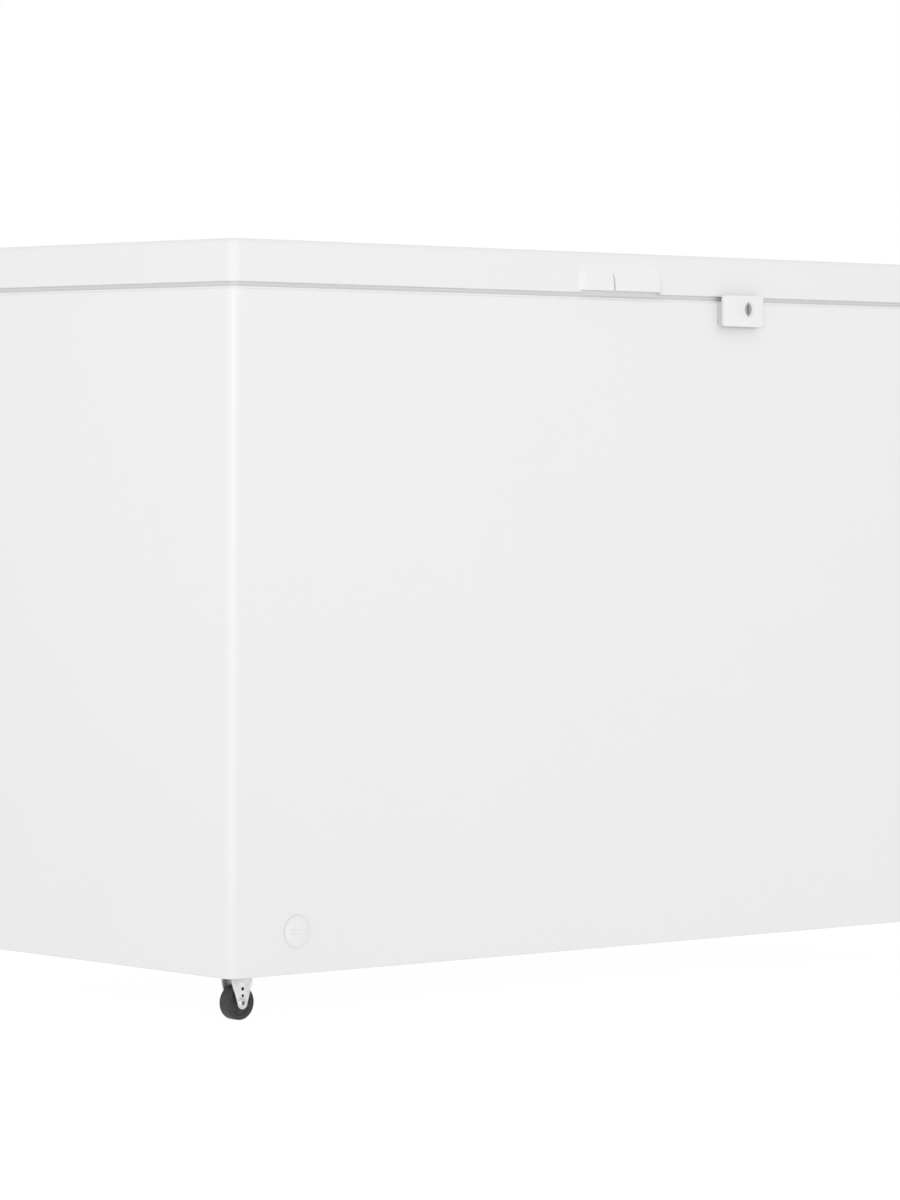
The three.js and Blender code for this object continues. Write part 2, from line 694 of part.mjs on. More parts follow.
function lockHousing() {
  const [width, height] = LOCK_SIZE;
  const half = width / 2;
  const middle = LOCK_Z + height / 2;
  const back = FRONT_Y - GAP;
  const tongueBack = FRONT_Y + GASKET_INSET - 0.6;
  const body = prismY(roundedRectangle(half, height / 2, LOCK_CORNER), LOCK_FRONT, back, 3)
    .translate(0, 0, middle);
  const room = block(2 - half, half - 2, LOCK_FRONT + LOCK_FACE, back + 1, LOCK_Z - 1, LOCK_Z + height - 2);
  const bore = turnedY(rod(CORE_BORE, LOCK_FRONT - 1, back), 24).translate(KEY_X - LOCK_X, 0, KEY_Z);
  const tongue = block(10 - half, half - 10, LOCK_FRONT + 1, tongueBack, RIM_Z + 3.5, LID_Z - GAP);
  return join(cut(body, room, bore), tongue).translate(LOCK_X, 0, 0);
}

function lockCylinder() {
  const face = LOCK_FRONT + 0.4;
  const back = LOCK_FRONT + 4.2;
  const tail = LOCK_FRONT + 7.5;
  const radius = CORE_BORE - GAP;
  const profile = [
    [0, face], [radius - 1, face], [radius, face + 1], [radius, back], [3, back], [3, tail], [0, tail],
  ];
  const keyway = block(-1.4, 1.4, LOCK_FRONT - 1, LOCK_FRONT + 3, -5.5, 5.5);
  return cut(turnedY(profile, 24), keyway).translate(KEY_X, 0, KEY_Z);
}

function lockCam() {
  const arm = new THREE.Shape();
  arm.absarc(0, 0, 6.5, 0, Math.PI);
  arm.lineTo(-4.5, -16);
  arm.lineTo(4.5, -16);
  const bore = turnedY(rod(3.3, LOCK_FRONT, FRONT_Y), 12);
  return cut(prismY(arm, LOCK_FRONT + 4.6, LOCK_FRONT + 6.4), bore).translate(KEY_X, 0, KEY_Z);
}

// The strike stands on the cabinet, beside the cam's path.
function lockStrike() {
  const [x0, x1] = [KEY_X - 26, KEY_X - 13];
  const plate = block(x0, x1, FRONT_Y - GAP - 1.2, FRONT_Y - GAP, KEY_Z - 14, KEY_Z + 6.4);
  const lip = block(x0, x1, LOCK_FRONT + 3.4, FRONT_Y - GAP, KEY_Z + 5.2, KEY_Z + 6.4);
  return join(plate, lip);
}

// ---- hinges -------------------------------------------------------------------------------------------

function eyed(corners, eyeSide) {
  const shape = outline(corners);
  const eye = turnedX(rod(EYE_RADIUS, ...eyeSide), 14).translate(0, PIVOT_Y, PIVOT_Z);
  return join(prismX(shape, ...eyeSide), eye);
}

function pinHole(reach) {
  return turnedX(rod(PIN_RADIUS + GAP + 0.1, -reach, reach), 12).translate(0, PIVOT_Y, PIVOT_Z);
}

function cabinetLeaf() {
  const back = HALF_D + GAP;
  const plate = block(-34, 34, back, back + LEAF, PIVOT_Z - 90, PIVOT_Z - 6);
  const ears = [[-28, -25], [25, 28]].map((side) => eyed([
    [back + 1, PIVOT_Z - 60], [PIVOT_Y + EYE_RADIUS, PIVOT_Z], [PIVOT_Y, PIVOT_Z], [back + 1, PIVOT_Z - 7],
  ], side));
  return cut(join(plate, ...ears), pinHole(40));
}

function lidLeaf() {
  const back = HALF_D + GAP;
  const plate = block(-30, 30, back, back + LEAF, PIVOT_Z + 9, LID_Z + 38);
  const ears = [[-23, -20.5], [20.5, 23]].map((side) => eyed([
    [back + 0.5, PIVOT_Z + 10], [PIVOT_Y - 4, PIVOT_Z], [PIVOT_Y + EYE_RADIUS - 0.5, PIVOT_Z + 2],
    [back + 1.5, LID_Z + 30], [back + 0.5, LID_Z + 30],
  ], side));
  return cut(join(plate, ...ears), pinHole(40));
}

function hingePin() {
  const profile = [
    [0, -31], [6.5, -31], [6.5, -28 - GAP], [PIN_RADIUS, -28 - GAP], [PIN_RADIUS, 28 + GAP], [6, 28 + GAP],
    [6, 30.5], [0, 30.5],
  ];
  return turnedX(profile, 12).translate(0, PIVOT_Y, PIVOT_Z);
}

// The counterbalance spring: a coil on the pin whose one leg bears on the cabinet's leaf.
function hingeSpring() {
  const turns = 4;
  const perTurn = 8;
  const coil = 6.2;
  const wire = 1.2;
  const route = [point(-17, PIVOT_Y - coil, PIVOT_Z - 42), point(-17, PIVOT_Y - coil, PIVOT_Z - 3)];
  for (let i = 0; i <= turns * perTurn; i += 1) {
    const angle = Math.PI - (2 * Math.PI * i) / perTurn;
    const x = -17 + (34 * i) / (turns * perTurn);
    route.push(point(x, PIVOT_Y + coil * Math.cos(angle), PIVOT_Z + coil * Math.sin(angle)));
  }
  return tube(route, wire, 4);
}

// ---- casters ------------------------------------------------------------------------------------------

function casterBracket() {
  const top = BASE_Z + SHEET;
  const half = 14;
  const inner = WHEEL_WIDTH / 2 + 1;
  const leg = new THREE.Shape();
  leg.absarc(0, WHEEL_RADIUS, 7, Math.PI, 2 * Math.PI);
  leg.lineTo(half, top - 8);
  leg.lineTo(half, top);
  leg.lineTo(-half, top);
  leg.lineTo(-half, top - 8);
  const plate = block(-half, half, -inner - 2, inner + 2, top - 2, top);
  const legs = [[-inner - 2, -inner], [inner, inner + 2]].map((side) => prismY(leg, ...side, 5));
  const bore = turnedY(rod(3.5, -20, 20), 8).translate(0, 0, WHEEL_RADIUS);
  return cut(join(plate, ...legs), bore);
}

function casterWheel() {
  const half = WHEEL_WIDTH / 2;
  const profile = [
    [3.5, -half], [7, -half], [14, 1.5 - half], [17.5, -half], [WHEEL_RADIUS, 1.5 - half],
    [WHEEL_RADIUS, half - 1.5], [17.5, half], [14, half - 1.5], [7, half], [3.5, half], [3.5, -half],
  ];
  return turnedY(profile, 20).translate(0, 0, WHEEL_RADIUS);
}

function casterAxle() {
  const head = WHEEL_WIDTH / 2 + 3 + GAP;
  const profile = [
    [0, -head - 1.4], [4, -head - 1.4], [5.5, -head], [3, -head], [3, head], [5.5, head], [4, head + 1.4],
    [0, head + 1.4],
  ];
  return turnedY(profile, 8).translate(0, 0, WHEEL_RADIUS);
}

// ---- basket -------------------------------------------------------------------------------------------

// A storage basket that hangs by two hooked strips on the rim and slides along it.
function storageBasket() {
  const half = BASKET_WIDTH / 2;
  const [low, high] = BASKET_Z;
  const bin = bar(half, BASKET_HALF_Y, BASKET_CORNER, low, high);
  const inside = bar(
    half - BASKET_WALL, BASKET_HALF_Y - BASKET_WALL, BASKET_CORNER - BASKET_WALL, low + BASKET_WALL, high + 5,
  );
  const strips = [-1, 1].map((side) => {
    const corners = [
      [BASKET_HALF_Y - 2, high - 12], [BASKET_HALF_Y + 3, high - 12], [BASKET_HALF_Y + 3, RIM_Z + 0.6],
      [INNER_D + 8, RIM_Z + 0.6], [INNER_D + 8, RIM_Z + 2.4], [BASKET_HALF_Y, RIM_Z + 2.4],
      [BASKET_HALF_Y, high], [BASKET_HALF_Y - 2, high],
    ];
    return prismX(outline(corners.map(([y, z]) => [side * y, z])), 30 - half, half - 30);
  });
  return cut(join(bin, ...strips), inside).translate(half + BASKET_SIDE_GAP - INNER_W, 0, 0);
}

// ---- the whole freezer --------------------------------------------------------------------------------

add("outer_shell", outerShell(), steel(WHITE));
add("inner_liner", innerLiner(), steel(0xe9ebec));
add("cabinet_foam", cabinetFoam(), plastic(FOAM));
add("top_breaker_frame", breakerFrame(), plastic(WHITE));
add("base_pan", basePlate(-HALF_W, BAY_X, SHEET), zinc());
add("machine_bulkhead", bulkhead(), zinc());
add("compressor_plate", compressorPlate(), zinc());
add("compressor", compressor(), steel(BLACK));
footPlaces().forEach((place, index) => add(`compressor_grommet_${index + 1}`, grommet(place), rubber(BLACK)));
add("relay_cover", relayCover(), plastic(BLACK));
add("filter_drier", filterDrier(), copper());
add("discharge_line", dischargeLine(), copper());
add("suction_line", suctionLine(), copper());
add("capillary_tube", capillaryTube(), copper());
add("condenser_coil", tube(condenserRoute(), TUBE), copper());
add("evaporator_coil", tube(evaporatorRoute(), TUBE), copper());
add("side_grille", sideGrille(), plastic(WHITE));
add("thermostat_body", thermostatBody(), plastic(BLACK));
add("thermostat_knob", thermostatKnob(), plastic(0xdadad8));
add("power_lamp", powerLamp(), plastic(0x3fae5a));
add("control_wiring", controlWiring(), rubber(BLACK));
add("cord_gland", cordGland(), rubber(BLACK));

add("drain_tube", drainTube(), plastic(0xd8d8d6));
add("drain_outlet", drainOutlet(), plastic(WHITE));
add("drain_cap", drainCap(), plastic(WHITE));
add("drain_bung", drainBung(), rubber(0x8a8c8e));

add("lid_outer", lidOuter(), steel(WHITE));
add("lid_foam", lidFoam(), plastic(FOAM));
add("lid_inner", lidInner(), plastic(WHITE));
add("lid_gasket", gasket(), rubber(0xd2d2d0));
add("lid_grip", lidGrip(), plastic(WHITE));
add("lock_housing", lockHousing(), plastic(WHITE));
add("lock_cylinder", lockCylinder(), zinc());
add("lock_cam", lockCam(), zinc());
add("lock_strike", lockStrike(), zinc());

for (const [side, x] of [["left", -HINGE_X], ["right", HINGE_X]]) {
  add(`hinge_${side}_cabinet_leaf`, cabinetLeaf(), zinc()).position.x = x;
  add(`hinge_${side}_lid_leaf`, lidLeaf(), zinc()).position.x = x;
  add(`hinge_${side}_pin`, hingePin(), zinc()).position.x = x;
  add(`hinge_${side}_spring`, hingeSpring(), steel(0x55585c)).position.x = x;
}

for (const [end, y] of [["front", CASTER_INSET[1] - HALF_D], ["rear", HALF_D - CASTER_INSET[1]]]) {
  for (const [side, x] of [["left", CASTER_INSET[0] - HALF_W], ["right", HALF_W - CASTER_INSET[0]]]) {
    add(`caster_${end}_${side}_bracket`, casterBracket(), zinc()).position.set(x, y, 0);
    add(`caster_${end}_${side}_wheel`, casterWheel(), rubber(BLACK)).position.set(x, y, 0);
    add(`caster_${end}_${side}_axle`, casterAxle(), zinc()).position.set(x, y, 0);
  }
}

add("storage_basket", storageBasket(), steel(0xdfe1e2));

export default freezer;
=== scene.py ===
"""Looks for the chest freezer: fine surfaces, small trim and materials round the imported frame.

Everything is in metres in the frame's own axes: +Z up, front towards -Y. MM turns millimetres into metres.
"""
import json
import math

import bmesh
import bpy
from mathutils import Matrix, Vector


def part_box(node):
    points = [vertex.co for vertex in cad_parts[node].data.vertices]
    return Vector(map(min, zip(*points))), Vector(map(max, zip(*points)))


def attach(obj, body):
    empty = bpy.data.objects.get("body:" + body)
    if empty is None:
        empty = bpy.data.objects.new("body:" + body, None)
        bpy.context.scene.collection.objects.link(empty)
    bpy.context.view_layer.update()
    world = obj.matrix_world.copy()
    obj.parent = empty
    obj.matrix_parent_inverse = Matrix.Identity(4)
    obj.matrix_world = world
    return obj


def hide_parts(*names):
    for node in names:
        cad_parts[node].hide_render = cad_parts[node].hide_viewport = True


MM = 0.001
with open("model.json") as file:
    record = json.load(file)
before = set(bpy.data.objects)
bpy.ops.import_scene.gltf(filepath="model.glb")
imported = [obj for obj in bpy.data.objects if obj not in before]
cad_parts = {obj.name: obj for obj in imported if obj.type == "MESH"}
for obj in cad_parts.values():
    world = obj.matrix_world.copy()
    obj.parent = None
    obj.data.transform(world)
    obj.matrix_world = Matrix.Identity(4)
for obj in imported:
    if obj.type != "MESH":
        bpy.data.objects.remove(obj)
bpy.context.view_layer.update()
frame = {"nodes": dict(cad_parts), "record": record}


# ---- materials ------------------------------------------------------------------------------------------

def node(tree, kind, **inputs):
    """A shader node with some of its sockets set: Detail_X names the socket Detail X."""
    made = tree.nodes.new(kind)
    for name, value in inputs.items():
        made.inputs[name.replace("_", " ")].default_value = value
    return made


def noise(tree, scale, detail=3.0):
    """A noise texture in the object's own metres: scale is blobs per metre."""
    place = tree.nodes.new("ShaderNodeTexCoord")
    made = node(tree, "ShaderNodeTexNoise", Scale=scale, Detail=detail)
    tree.links.new(place.outputs["Object"], made.inputs["Vector"])
    return made.outputs["Fac"]


def cells(tree, scale, feature="F1"):
    """A texture of cells in the object's own metres: scale is cells per metre."""
    place = tree.nodes.new("ShaderNodeTexCoord")
    made = node(tree, "ShaderNodeTexVoronoi", Scale=scale)
    made.feature = feature
    tree.links.new(place.outputs["Object"], made.inputs["Vector"])
    return made


def spread(tree, source, low, high):
    """Maps a 0 to 1 value to low to high."""
    made = node(tree, "ShaderNodeMapRange", To_Min=low, To_Max=high)
    tree.links.new(source, made.inputs["Value"])
    return made.outputs["Result"]


def blend_colours(tree, factor, first, second):
    """Mixes two colours by a factor from a texture."""
    made = tree.nodes.new("ShaderNodeMix")
    made.data_type = "RGBA"
    made.inputs[6].default_value = (*first, 1.0)
    made.inputs[7].default_value = (*second, 1.0)
    tree.links.new(factor, made.inputs[0])
    return made.outputs[2]


def bumps(tree, shader, layers):
    """Chains bump layers, each (height source, strength, height in metres), into the shader's normal."""
    last = None
    for source, strength, height in layers:
        made = node(tree, "ShaderNodeBump", Strength=strength, Distance=height)
        tree.links.new(source, made.inputs["Height"])
        if last is not None:
            tree.links.new(last.outputs["Normal"], made.inputs["Normal"])
        last = made
    tree.links.new(last.outputs["Normal"], shader.inputs["Normal"])


def scaled(colour, factor):
    """A colour with each channel multiplied by the factor."""
    return tuple(channel * factor for channel in colour)


def start_material(name, metallic=0.0):
    """A new material with its node tree and its shader."""
    made = bpy.data.materials.new(name)
    made.use_nodes = True
    shader = made.node_tree.nodes["Principled BSDF"]
    shader.inputs["Metallic"].default_value = metallic
    return made, made.node_tree, shader


def plain_material(name, colour, roughness, grain, grain_height, metallic=0.0, tint=0.04, coat=0.0):
    """A moulded, painted or plated surface: fine grain, broad waviness, uneven colour and gloss."""
    made, tree, shader = start_material(name, metallic)
    broad = noise(tree, 7.0)
    shade = blend_colours(tree, broad, scaled(colour, 1 - tint), scaled(colour, 1 + tint))
    tree.links.new(shade, shader.inputs["Base Color"])
    gloss = spread(tree, noise(tree, 45.0), roughness * 0.85, roughness * 1.15)
    tree.links.new(gloss, shader.inputs["Roughness"])
    bumps(tree, shader, [(broad, 0.05, 0.6 * MM), (noise(tree, grain), 0.5, grain_height)])
    shader.inputs["Coat Weight"].default_value = coat
    return made


def zinc_material():
    """Zinc plate with faint crystal cells."""
    made, tree, shader = start_material("zinc_plate", 1.0)
    crystal = cells(tree, 160.0)
    shade = blend_colours(tree, crystal.outputs["Color"], (0.60, 0.61, 0.62), (0.78, 0.79, 0.80))
    tree.links.new(shade, shader.inputs["Base Color"])
    tree.links.new(spread(tree, noise(tree, 60.0), 0.28, 0.5), shader.inputs["Roughness"])
    bumps(tree, shader, [(noise(tree, 500.0), 0.2, 0.1 * MM)])
    return made


def stucco_material():
    """White painted sheet with the pebbled emboss of a freezer's liner."""
    made, tree, shader = start_material("liner_stucco")
    pebbles = cells(tree, 150.0, "SMOOTH_F1")
    shade = blend_colours(tree, noise(tree, 9.0), (0.80, 0.81, 0.82), (0.85, 0.86, 0.87))
    tree.links.new(shade, shader.inputs["Base Color"])
    shader.inputs["Roughness"].default_value = 0.32
    bumps(tree, shader, [(pebbles.outputs["Distance"], 0.6, 0.7 * MM), (noise(tree, 700.0), 0.2, 0.1 * MM)])
    return made


def foam_material():
    """Foamed insulation: closed cells and a skin of uneven tan."""
    made, tree, shader = start_material("foam")
    shade = blend_colours(tree, noise(tree, 30.0, 6.0), (0.72, 0.56, 0.30), (0.88, 0.76, 0.50))
    tree.links.new(shade, shader.inputs["Base Color"])
    shader.inputs["Roughness"].default_value = 0.9
    bumps(tree, shader, [(cells(tree, 700.0).outputs["Distance"], 0.6, 0.5 * MM)])
    return made


def tyre_material():
    """Hard black rubber with a scuffed, dusty tread."""
    made, tree, shader = start_material("wheel_rubber")
    scuffs = noise(tree, 260.0, 6.0)
    shade = blend_colours(tree, spread(tree, scuffs, -0.6, 1.2), (0.012, 0.012, 0.013), (0.05, 0.05, 0.05))
    tree.links.new(shade, shader.inputs["Base Color"])
    tree.links.new(spread(tree, scuffs, 0.35, 0.75), shader.inputs["Roughness"])
    bumps(tree, shader, [(scuffs, 0.3, 0.2 * MM)])
    return made


def copper_material():
    """Drawn copper, tarnished in patches."""
    made, tree, shader = start_material("drawn_copper", 1.0)
    shade = blend_colours(tree, noise(tree, 40.0, 5.0), (0.42, 0.20, 0.12), (0.80, 0.46, 0.31))
    tree.links.new(shade, shader.inputs["Base Color"])
    tree.links.new(spread(tree, noise(tree, 80.0), 0.25, 0.5), shader.inputs["Roughness"])
    bumps(tree, shader, [(noise(tree, 900.0), 0.2, 0.1 * MM)])
    return made


CABINET_WHITE = (0.735, 0.735, 0.735)
# The lid's white is a touch darker than the cabinet's: painted shade that tones down the lamp's light on
# the lid.
LID_WHITE_PAINTED_SHADE = (0.73, 0.73, 0.73)
TRIM_WHITE = (0.74, 0.74, 0.74)
SOFT_BLACK = (0.025, 0.025, 0.027)

MATERIALS = {
    "cabinet_paint": plain_material("white_paint", CABINET_WHITE, 0.42, 650.0, 0.12 * MM, tint=0.006),
    "liner_paint": stucco_material(),
    "white_plastic": plain_material("white_plastic", TRIM_WHITE, 0.42, 1600.0, 0.06 * MM, tint=0.01),
    "drain_plastic": plain_material("grey_plastic", (0.62, 0.62, 0.61), 0.5, 1200.0, 0.1 * MM),
    "pu_foam": foam_material(),
    "zinc_steel": zinc_material(),
    "black_paint": plain_material("black_paint", (0.018, 0.018, 0.02), 0.3, 500.0, 0.15 * MM, tint=0.2),
    "black_rubber": tyre_material(),
    "black_plastic": plain_material("black_plastic", SOFT_BLACK, 0.55, 1400.0, 0.1 * MM, tint=0.1),
    "copper": copper_material(),
    "knob_plastic": plain_material("knob_plastic", (0.55, 0.55, 0.54), 0.42, 1400.0, 0.08 * MM),
    "lamp_plastic": plain_material("lamp_plastic", (0.03, 0.42, 0.10), 0.15, 900.0, 0.05 * MM, coat=0.5),
    "bung_rubber": plain_material("bung_rubber", (0.22, 0.23, 0.24), 0.75, 1100.0, 0.15 * MM),
    "gasket_rubber": plain_material("gasket_vinyl", (0.66, 0.66, 0.66), 0.6, 1300.0, 0.12 * MM),
    "lock_metal": plain_material("plated_lock", (0.80, 0.80, 0.80), 0.3, 700.0, 0.05 * MM, metallic=1.0),
    "spring_steel": plain_material("spring_steel", (0.20, 0.20, 0.21), 0.38, 900.0, 0.1 * MM, metallic=1.0),
    "basket_wire": plain_material("coated_wire", (0.80, 0.80, 0.81), 0.35, 900.0, 0.08 * MM),
}
INK = plain_material("dial_ink", (0.10, 0.10, 0.11), 0.5, 1500.0, 0.03 * MM)
# A grey for the inset round the key slot: painted shade of the recessed slot.
KEY_PLATE_PAINTED_SHADE = plain_material("key_plate_painted_shade", (0.33, 0.34, 0.37), 0.45, 1200.0, 0.05 * MM, metallic=0.3)
# The lid's paint is rougher than the cabinet's, and its darker white is painted shade.
LID_PAINT_PAINTED_SHADE = plain_material("lid_paint_painted_shade", LID_WHITE_PAINTED_SHADE, 0.6, 650.0, 0.12 * MM, tint=0.006)


# ---- mesh helpers ---------------------------------------------------------------------------------------

def smooth(mesh, limit=math.radians(38)):
    """Shades a mesh smooth, with sharp edges where faces meet at more than the limit."""
    made = bmesh.new()
    made.from_mesh(mesh)
    for face in made.faces:
        face.smooth = True
    for edge in made.edges:
        edge.smooth = edge.is_manifold and edge.calc_face_angle(0.0) < limit
    made.to_mesh(mesh)
    made.free()


def object_of(name, vertices, faces):
    """An object with these faces, turned to point outwards."""
    mesh = bpy.data.meshes.new(name)
    mesh.from_pydata([tuple(v) for v in vertices], [], faces)
    made = bmesh.new()
    made.from_mesh(mesh)
    bmesh.ops.recalc_face_normals(made, faces=made.faces)
    made.to_mesh(mesh)
    made.free()
    thing = bpy.data.objects.new(name, mesh)
    bpy.context.collection.objects.link(thing)
    return thing


def settle(thing):
    """Applies a piece's modifiers to its mesh."""
    bpy.context.view_layer.update()
    evaluated = thing.evaluated_get(bpy.context.evaluated_depsgraph_get())
    mesh = bpy.data.meshes.new_from_object(evaluated)
    thing.modifiers.clear()
    thing.data = mesh
    return thing


def carve(thing, *cutters, operation="DIFFERENCE"):
    """Cuts the cutters out of a piece, or joins them to it, and removes them."""
    for cutter in cutters:
        modifier = thing.modifiers.new("cut", "BOOLEAN")
        modifier.operation = operation
        modifier.solver = "EXACT"
        modifier.object = cutter
    settle(thing)
    for cutter in cutters:
        bpy.data.objects.remove(cutter)
    return thing


def thicken(thing, thickness, offset=-1.0):
    """Gives a skin its thickness: inwards, or outwards with an offset of 1."""
    modifier = thing.modifiers.new("sheet", "SOLIDIFY")
    modifier.thickness = thickness
    modifier.offset = offset
    modifier.use_even_offset = True
    return settle(thing)


def bevelled(thing, width, segments=2, limit=40):
    """Rounds the edges that are sharper than limit, in degrees."""
    modifier = thing.modifiers.new("edges", "BEVEL")
    modifier.width = width
    modifier.segments = segments
    modifier.limit_method = "ANGLE"
    modifier.angle_limit = math.radians(limit)
    modifier.use_clamp_overlap = True
    return settle(thing)


def dress(thing, slot, body, *replaced, material=None):
    """Gives a finished piece its slot's material and its body, and hides the CAD nodes it stands for."""
    smooth(thing.data)
    thing.data.materials.clear()
    thing.data.materials.append(material or MATERIALS[slot])
    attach(thing, body)
    if replaced:
        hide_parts(*replaced)
    return thing


def joined(name, things):
    """One object from several meshes, with their places applied."""
    whole = bmesh.new()
    for thing in things:
        mesh = thing.data.copy()
        mesh.transform(thing.matrix_basis)
        whole.from_mesh(mesh)
    mesh = bpy.data.meshes.new(name)
    whole.to_mesh(mesh)
    whole.free()
    for thing in things:
        bpy.data.objects.remove(thing)
    made = bpy.data.objects.new(name, mesh)
    bpy.context.collection.objects.link(made)
    return made


def loft(name, rings, wrap=False, first_cap=False, last_cap=False):
    """A skin over rings of equally many points."""
    count = len(rings[0])
    vertices = [point for ring in rings for point in ring]
    faces = []
    for r in range(len(rings) if wrap else len(rings) - 1):
        low, high = r * count, ((r + 1) % len(rings)) * count
        for i in range(count):
            j = (i + 1) % count
            faces.append((low + i, low + j, high + j, high + i))
    if first_cap:
        faces.append(tuple(range(count)))
    if last_cap:
        faces.append(tuple(range((len(rings) - 1) * count, len(rings) * count)))
    return object_of(name, vertices, faces)


def rounded_ring(low, high, inset, radius, z, segments=10):
    """Points round a rounded rectangle: the box's outline drawn in by inset."""
    half_x = (high.x - low.x) / 2 - inset
    half_y = (high.y - low.y) / 2 - inset
    middle = (low + high) / 2
    points = []
    for corner, (side_x, side_y) in enumerate(((1, 1), (-1, 1), (-1, -1), (1, -1))):
        for step in range(segments + 1):
            angle = math.pi / 2 * (corner + step / segments)
            x = side_x * (half_x - radius) + radius * math.cos(angle)
            y = side_y * (half_y - radius) + radius * math.sin(angle)
            points.append(Vector((middle.x + x, middle.y + y, z)))
    return points


def band(name, box, corner, profile, **caps):
    """A skin whose section lists (inset, height) or (inset, height, corner radius), in millimetres."""
    low, high = box
    rings = []
    for inset, height, *radius in profile:
        chosen = radius[0] if radius else max(corner - inset, 0.5)
        rings.append(rounded_ring(low, high, inset * MM, chosen * MM, height * MM))
    return loft(name, rings, **caps)


def arc(centre, radius, start, end, steps=6):
    """Points on an arc, in degrees, as (u, v) pairs."""
    points = []
    for step in range(steps + 1):
        angle = math.radians(start + (end - start) * step / steps)
        points.append((centre[0] + radius * math.cos(angle), centre[1] + radius * math.sin(angle)))
    return points


# Turns that point +Z to the right, to the front, to the back, up and down.
TO_X = Matrix(((0, 0, 1, 0), (0, 1, 0, 0), (-1, 0, 0, 0), (0, 0, 0, 1)))
TO_FRONT = Matrix(((1, 0, 0, 0), (0, 0, -1, 0), (0, 1, 0, 0), (0, 0, 0, 1)))
TO_BACK = Matrix(((-1, 0, 0, 0), (0, 0, 1, 0), (0, 1, 0, 0), (0, 0, 0, 1)))
UP = Matrix.Identity(4)
DOWN = Matrix(((1, 0, 0, 0), (0, -1, 0, 0), (0, 0, -1, 0), (0, 0, 0, 1)))


def turned(name, profile, place, turn=UP, segments=40):
    """A profile of (radius, height) in millimetres turned about an axis: up, or where turn points it."""
    rings = []
    for radius, height in profile:
        ring = []
        for i in range(segments):
            angle = 2 * math.pi * i / segments
            local = Vector((radius * MM * math.cos(angle), radius * MM * math.sin(angle), height * MM))
            ring.append(Vector(place) + turn.to_3x3() @ local)
        rings.append(ring)
    closed = profile[0] == profile[-1]
    if closed:
        return loft(name, rings[:-1], wrap=True)
    return loft(name, rings, first_cap=True, last_cap=True)


def block(name, low, high):
    """A box between two corners, in metres."""
    (x0, y0, z0), (x1, y1, z1) = low, high
    ring = [(x0, y0), (x1, y0), (x1, y1), (x0, y1)]
    rings = [[Vector((x, y, z)) for x, y in ring] for z in (z0, z1)]
    return loft(name, rings, first_cap=True, last_cap=True)


def plate(name, outline, x0, x1):
    """An outline of (y, z) points, in metres, drawn out along X."""
    rings = [[Vector((x, y, z)) for y, z in outline] for x in (x0, x1)]
    return loft(name, rings, first_cap=True, last_cap=True)


def wire(name, points, radius, sides=10, closed=False):
    """A round wire through points, with its section carried along without twist."""
    rings = []
    count = len(points)
    side = None
    for i, here in enumerate(points):
        before = points[i - 1] if i > 0 or closed else here
        after = points[(i + 1) % count] if i < count - 1 or closed else here
        along = (after - before).normalized()
        if side is None:
            side = along.orthogonal().normalized()
        side = (side - along * side.dot(along)).normalized()
        up = along.cross(side)
        ring = []
        for k in range(sides):
            angle = 2 * math.pi * k / sides
            ring.append(here + radius * (math.cos(angle) * side + math.sin(angle) * up))
        rings.append(ring)
    return loft(name, rings, wrap=closed, first_cap=not closed, last_cap=not closed)


def rounded_route(corners, radius, steps):
    """A route through corners, each turned into an arc."""
    route = [corners[0]]
    for before, corner, after in zip(corners, corners[1:], corners[2:]):
        arriving = (corner - before).normalized()
        leaving = (after - corner).normalized()
        reach = radius * math.tan(arriving.angle(leaving) / 2)
        start, end = corner - arriving * reach, corner + leaving * reach
        for step in range(steps + 1):
            t = step / steps
            route.append((1 - t) ** 2 * start + 2 * t * (1 - t) * corner + t * t * end)
    route.append(corners[-1])
    return route


def refined(source, slot, body, width, limit=40):
    """A CAD node's own shape with its edges rounded, standing for that node."""
    mesh = frame["nodes"][source].data.copy()
    made = bmesh.new()
    made.from_mesh(mesh)
    bmesh.ops.remove_doubles(made, verts=made.verts, dist=0.01 * MM)
    bmesh.ops.dissolve_limit(made, angle_limit=math.radians(1), verts=made.verts, edges=made.edges)
    made.to_mesh(mesh)
    made.free()
    thing = bpy.data.objects.new(source + "_fine", mesh)
    bpy.context.collection.objects.link(thing)
    bevelled(thing, width * MM, 2, limit)
    return dress(thing, slot, body, source)


# ---- cabinet --------------------------------------------------------------------------------------------

CORNER = 12.0
GRILLE_FLANGE = 8.0
SHELL_SHEET = 1.1
LINER_SHEET = 1.0
DRAIN_HOLE = 9.3
GLAND_HOLE = 8.3
BUNG_HOLE = 6.8
STEP_FOAM = 55.0
NOSE_RADIUS = 3.4
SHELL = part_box("outer_shell")
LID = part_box("lid_outer")
RIM = SHELL[1].z / MM
BASE = SHELL[0].z / MM


